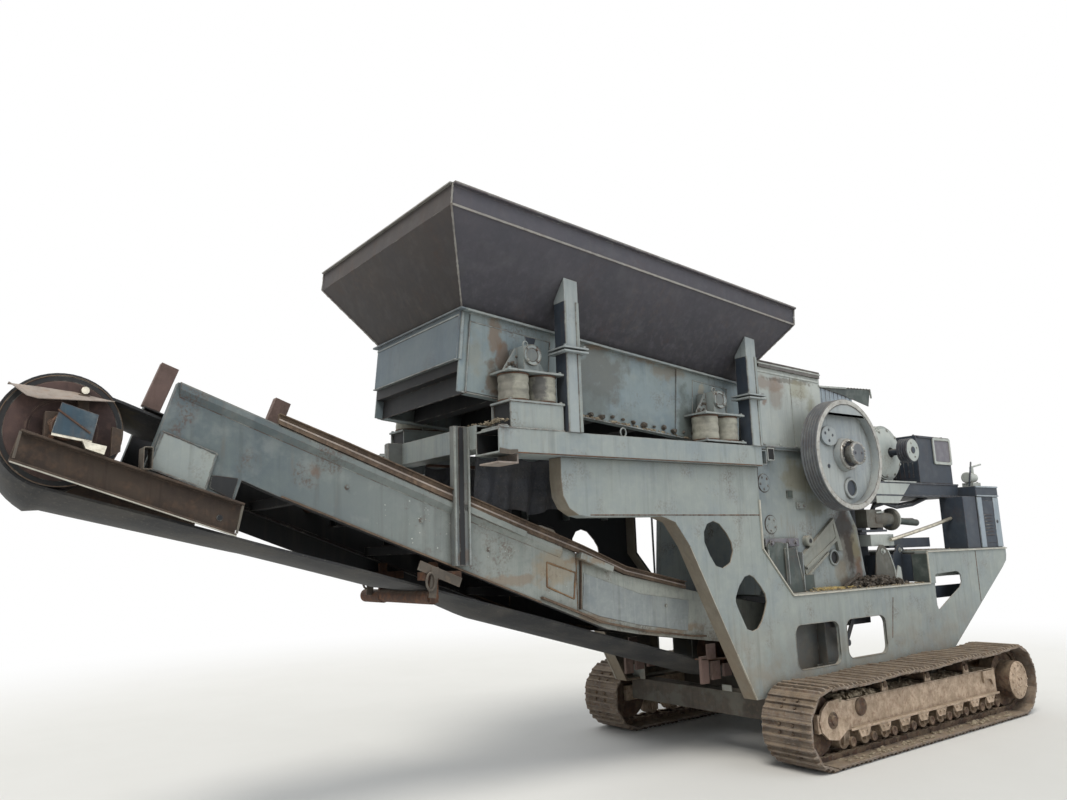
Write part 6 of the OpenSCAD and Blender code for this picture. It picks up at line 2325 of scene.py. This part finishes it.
            # A disc of painted shade for the hole.
            shape.use("painted_shade")
            shape.rod((-5.64, y + 0.039, 1.868), (-5.64, y + 0.042, 1.868), 0.018, 16)
            shape.use("channel")
            if side is Side.NEAR:
                shape.prism([(-6.196, 2.332), (-6.148, 2.319), (-6.152, 2.205), (-6.198, 2.18)], y + 0.03, y + 0.06)
                shape.use("blue")
                shape.prism([(-6.437, 2.433), (-6.269, 2.38), (-6.293, 2.247), (-6.474, 2.277)], y - 0.026, y - 0.018)
                shape.use("rusty")
                shape.bar((-6.452, y - 0.029, 2.395), (-6.305, y - 0.029, 2.285), 0.007, 0.006, ACROSS)
                shape.use("rod")
                shape.prism([(-6.34, 2.246), (-6.226, 2.222), (-6.237, 2.178), (-6.322, 2.206)], y - 0.038, y - 0.01)
                shape.bar((-6.474, y - 0.024, 2.272), (-6.294, y - 0.024, 2.24), 0.012, 0.01, ACROSS)
                shape.rod((-6.317, y + 0.11, 2.525), (-6.317, y + 0.14, 2.525), 0.02, 12)
            shape.use("rusty")
            shape.lathe([(0.03, -0.012), (0.062, -0.012), (0.07, 0.0), (0.07, 0.02), (0.03, 0.02)],
                        (self.head[0], y + 0.01, self.head[1]), ACROSS, 32, closed=True)
            for x, z in ((-6.47, 2.335), (-6.35, 2.335), (-6.47, 2.26), (-6.35, 2.26)):
                shape.bolt((x, y + 0.018, z), OUTWARD, 0.024)
            tube = rounded((-6.06, 2.11), (-6.012, 2.228), 0.008, 2)
            inner = rounded((-6.055, 2.115), (-6.017, 2.223), 0.006, 2)
            shape.use("rusty_paint")
            shape.frame_of(tube, inner, y - 0.06, y + 0.05)
            shape.place("head_channel_details_" + side.word, side=side, bevel_mm=1.2)

    @staticmethod
    def guard() -> None:
        """Draws the bent sheet over the drum and its post."""
        guard = Shape("leaf", "channel")
        leaf = []
        near = ((-6.664, 2.522), (-6.583, 2.463), (-6.536, 2.452), (-6.375, 2.456), (-6.192, 2.462))
        far = ((-6.66, 2.532), (-6.577, 2.531), (-6.52, 2.528), (-6.363, 2.514), (-6.18, 2.48))
        for (x0, z0), (x1, z1) in zip(near, far):
            leaf.append([(x0 + (x1 - x0) * q, -0.47 + 0.11 * q, z0 + (z1 - z0) * q) for q in (0, 0.33, 0.66, 1)])
        guard.sheet(leaf, 0.005)
        guard.use("channel")
        guard.box((-6.35, -0.4, 2.33), (-6.3, -0.37, 2.5))
        guard.place("head_guard_dressed", bevel_mm=0.8, replaces=["head_guard"])

    def drum_faces(self) -> None:
        """Draws the drum's rims, discs and hub rings."""
        drum = Shape("drum", "painted_shade", "flange")
        x, z = self.head
        inner = self.head_r - self.thickness - 0.0015
        for s in (-1, 1):
            axis = (0, -s, 0)
            base = s * 0.345
            # A ring of painted shade in the recess behind the rim.
            drum.use("painted_shade")
            drum.lathe([(0.256, -0.003), (inner, -0.003), (inner, 0.03), (0.256, 0.03)], (x, base, z), axis, 64,
                       closed=True)
            drum.use("flange")
            drum.lathe([(inner - 0.004, -0.007), (inner, -0.007), (inner, 0.0), (inner - 0.004, 0.0)], (x, base, z),
                       axis, 64, closed=True)
            drum.use("drum")
            drum.lathe([(0.06, -0.004), (0.15, -0.012), (0.248, -0.008), (0.256, -0.002), (0.256, 0.01),
                        (0.06, 0.01)], (x, base, z), axis, 64, closed=True)
            drum.lathe([(0.15, -0.014), (0.16, -0.018), (0.166, -0.01), (0.15, -0.004)], (x, base, z), axis, 48,
                       closed=True)
        drum.place("head_drum_faces", "head_pulley", bevel_mm=1)

    def tail_end(self) -> None:
        """Draws the guards, blocks and tabs around the tail."""
        shape = Shape("red", "rusty", "pale")
        for s in (-1, 1):
            shape.use("red")
            for lo, hi in (((-1.955, 0.585), (-1.87, 0.79)), ((-1.835, 0.605), (-1.74, 0.745)),
                           ((-1.695, 0.618), (-1.61, 0.715))):
                shape.slab(lo, hi, s * 0.42, s * 0.445)
            shape.slab((-1.89, 0.765), (-1.79, 0.88), s * 0.44, s * 0.452)
            shape.use("rusty")
            shape.bar((-1.95, s * 0.41, 0.768), (-1.56, s * 0.41, 0.745), 0.07, 0.01)
        shape.use("pale")
        shape.box((-1.575, 0.6, 0.482), (-1.567, 0.76, 0.6))
        shape.box((-1.575, -0.4, 0.482), (-1.567, -0.3, 0.53))
        shape.place("tail_guards", bevel_mm=1.5)

    def skirt(self) -> None:
        """Hangs the folded rubber skirts between the rails over the belt."""
        shape = Shape("skirt", "rusty")
        for s in (-1, 1):
            rows = []
            for r in range(7):
                z = 2.285 - 0.062 * r
                row = []
                for k in range(33):
                    x = -3.93 + 0.024 * k
                    wave = 0.034 * math.sin(k * 0.9 + 0.5 * r) * (0.25 + r / 7) + 0.02 * noise.noise(
                        Vector((x * 6, z * 5, s)))
                    row.append((x, s * 0.345 + wave, z - 0.02 * math.sin(k * 0.4)))
                rows.append(row)
            shape.use("skirt")
            shape.sheet(rows, 0.008)
            shape.use("rusty")
            shape.bar((-3.912, s * 0.345, 2.292), (-3.14, s * 0.345, 2.292), 0.04, 0.018)
        shape.place("rubber_skirts")

    @staticmethod
    def free_ends(drum: bpy.types.Object) -> None:
        """Thins the drum's shaft ends by a millimetre, so that they turn free in their housings.

        Args:
            drum: the drum's dressed copy.
        """
        low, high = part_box("head_drum")
        middle = Vector(((low[0] + high[0]) / 2, 0, (low[2] + high[2]) / 2))
        for vertex in drum.data.vertices:
            if abs(vertex.co.y) > 0.395:
                thin = middle + 0.975 * (vertex.co - middle)
                vertex.co = (thin.x, vertex.co.y, thin.z)

    def build(self, nodes: Nodes) -> None:
        """Builds the conveyor.

        Args:
            nodes: the construction's objects by name.
        """
        # The stringers' inner faces get painted shade.
        inside = ("painted_shade", lambda p, n: n.y * p.y < -0.1 or (abs(p.y) < 0.425 and p.x > -5.5))
        for node in ("conveyor_frame_near", "conveyor_frame_far"):
            dressed(nodes, node, "conveyor", 3, also=[inside])
        for node, finish, bevel in (
            # The cross ties are all painted shade.
            ("conveyor_cross_ties", "painted_shade", 2), ("conveyor_idlers", "rusty", 2),
            ("head_channels", "channel", 2), ("tail_drum", "rusty", 3),
        ):
            dressed(nodes, node, finish, bevel)
        dressed(nodes, "conveyor_brackets", "strap", 2,
                also=[("red", lambda p, n: p.y > 0.3 and p.z > 2.3 and p.x < -4.6)])
        self.free_ends(dressed(nodes, "head_drum", "drum", 3, "head_pulley"))
        self.belt()
        for side in Side:
            self.stringer_details(side)
        self.idlers()
        self.hangers()
        self.channel_details()
        self.guard()
        self.drum_faces()
        self.tail_end()
        self.skirt()


@dataclass
class Studio:
    """The floor, the lamps and the camera."""

    eye: Triple = (-7.0, -5.17, 1.63)
    yaw_deg: float = 36.59
    pitch_deg: float = 10.2516
    roll_deg: float = -1.848
    focal_px: float = 842.34
    photo_px: float = 1067.0

    def floor(self) -> None:
        """Lays a pale floor that keeps the machine's shadow."""
        drawn = bmesh.new()
        size = 60.0
        drawn.faces.new([drawn.verts.new(p) for p in ((-size, -size, 0), (size, -size, 0), (size, size, 0),
                                                      (-size, size, 0))])
        mesh = bpy.data.meshes.new("floor")
        drawn.to_mesh(mesh)
        drawn.free()
        coat = Layers("matt_floor_paint", "#dededb", 0.9)
        coat.lay(coat.patches(900, 0.4, 0.7), 0.3, "#d6d6d2")
        paint = coat.done(0.2)
        tree = paint.node_tree
        shader = next(n for n in tree.nodes if n.type == "BSDF_PRINCIPLED")
        outlet = next(n for n in tree.nodes if n.type == "OUTPUT_MATERIAL")
        distance = add(tree, "VectorMath", {0: coat.place, 1: (MID - 1.5, 0, 0)}, operation="DISTANCE").outputs["Value"]
        far = add(tree, "MapRange", {"Value": distance, "From Min": 6.0, "From Max": 13.0},
                  interpolation_type="SMOOTHSTEP").outputs[0]
        seen = add(tree, "LightPath").outputs["Is Camera Ray"]
        amount = add(tree, "Math", {0: far, 1: seen}, operation="MULTIPLY").outputs[0]
        white = add(tree, "Emission", {"Color": (1.0, 1.0, 1.0, 1.0), "Strength": 1.0}).outputs[0]
        faded = add(tree, "MixShader", {0: amount, 1: shader.outputs[0], 2: white}).outputs[0]
        tree.links.new(faded, outlet.inputs[0])
        mesh.materials.append(paint)
        plate = bpy.data.objects.new("floor", mesh)
        bpy.context.scene.collection.objects.link(plate)

    def world(self) -> None:
        """Gives an even soft light, and a white ground behind the machine."""
        sky = bpy.data.worlds.new("studio")
        bpy.context.scene.world = sky
        sky.use_nodes = True
        tree = sky.node_tree
        tree.nodes.clear()
        rays = add(tree, "LightPath").outputs
        seen = add(tree, "Math", {0: rays["Is Camera Ray"], 1: rays["Is Glossy Ray"]}, operation="ADD",
                   use_clamp=True).outputs[0]
        seen = add(tree, "Math", {0: seen, 1: rays["Is Transmission Ray"]}, operation="ADD",
                   use_clamp=True).outputs[0]
        soft = add(tree, "Background", {"Color": linear("#eef1f4"), "Strength": 0.56}).outputs[0]
        white = add(tree, "Background", {"Color": (1.0, 1.0, 1.0, 1.0), "Strength": 1.0}).outputs[0]
        mixed = add(tree, "MixShader", {0: seen, 1: soft, 2: white}).outputs[0]
        add(tree, "OutputWorld", {0: mixed})

    def lamp(self, name: str, towards: Triple, strength: float, spread_deg: float, tint: str = "#ffffff") -> None:
        """Sets one even soft lamp.

        Args:
            name: its name.
            towards: the direction from the machine to it.
            strength: how strong it is.
            spread_deg: how wide it looks from the machine, which softens its shadows.
            tint: its colour.
        """
        light = bpy.data.lights.new(name, "SUN")
        light.energy = strength
        light.angle = math.radians(spread_deg)
        light.color = linear(tint)[:3]
        lamp = bpy.data.objects.new(name, light)
        lamp.rotation_euler = (-Vector(towards)).to_track_quat("-Z", "Y").to_euler()
        bpy.context.scene.collection.objects.link(lamp)

    def camera(self) -> None:
        """Sets the camera where the photograph was taken from."""
        yaw, pitch, roll = (math.radians(a) for a in (self.yaw_deg, self.pitch_deg, self.roll_deg))
        ahead = Vector((math.sin(yaw) * math.cos(pitch), math.cos(yaw) * math.cos(pitch), math.sin(pitch)))
        right = Vector((math.cos(yaw), -math.sin(yaw), 0))
        up = right.cross(ahead)
        across_frame = math.cos(roll) * right + math.sin(roll) * up
        up_frame = -math.sin(roll) * right + math.cos(roll) * up
        place = Matrix((across_frame, up_frame, -ahead)).transposed().to_4x4()
        place.translation = Vector(self.eye) + Vector((MID, 0, 0))
        lens = bpy.data.cameras.new("photo_camera")
        lens.sensor_width = 36
        lens.lens = self.focal_px / self.photo_px * 36
        lens.clip_end = 200
        view = bpy.data.objects.new("photo_camera", lens)
        bpy.context.scene.collection.objects.link(view)
        view.matrix_world = place
        bpy.context.scene.camera = view

    def build(self) -> None:
        """Sets up the studio."""
        self.camera()
        self.floor()
        self.world()
        self.lamp("key", (-5.0, -4.0, 9.0), 1.9, 25, "#fffaf2")
        self.lamp("fill", (3.0, -7.0, 2.5), 0.85, 60, "#f4f8ff")
        self.lamp("back", (1.0, 8.0, 6.0), 0.7, 40)
        bpy.context.scene.view_settings.view_transform = "Standard"


def main() -> None:
    """Builds the machine's looks in order."""
    global MID
    logging.basicConfig(level=logging.INFO, format="%(name)s %(message)s")
    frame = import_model()
    nodes = frame["nodes"]
    low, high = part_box("track_chain_near")
    MID = (low.x + high.x) / 2
    Studio().build()
    FINISH.update(Palette().build())
    for side in Side:
        Tracks(side).build(nodes)
    SideFrames().build(nodes)
    UpperFrame().build(nodes)
    Hopper().build(nodes)
    Feeder().build(nodes)
    for side in Side:
        SpringStations(side).build()
    Crusher().build(nodes)
    for side in Side:
        Flywheel(side).build()
    RearGear().build(nodes)
    Conveyor().build(nodes)


if __name__ == "__main__":
    main()
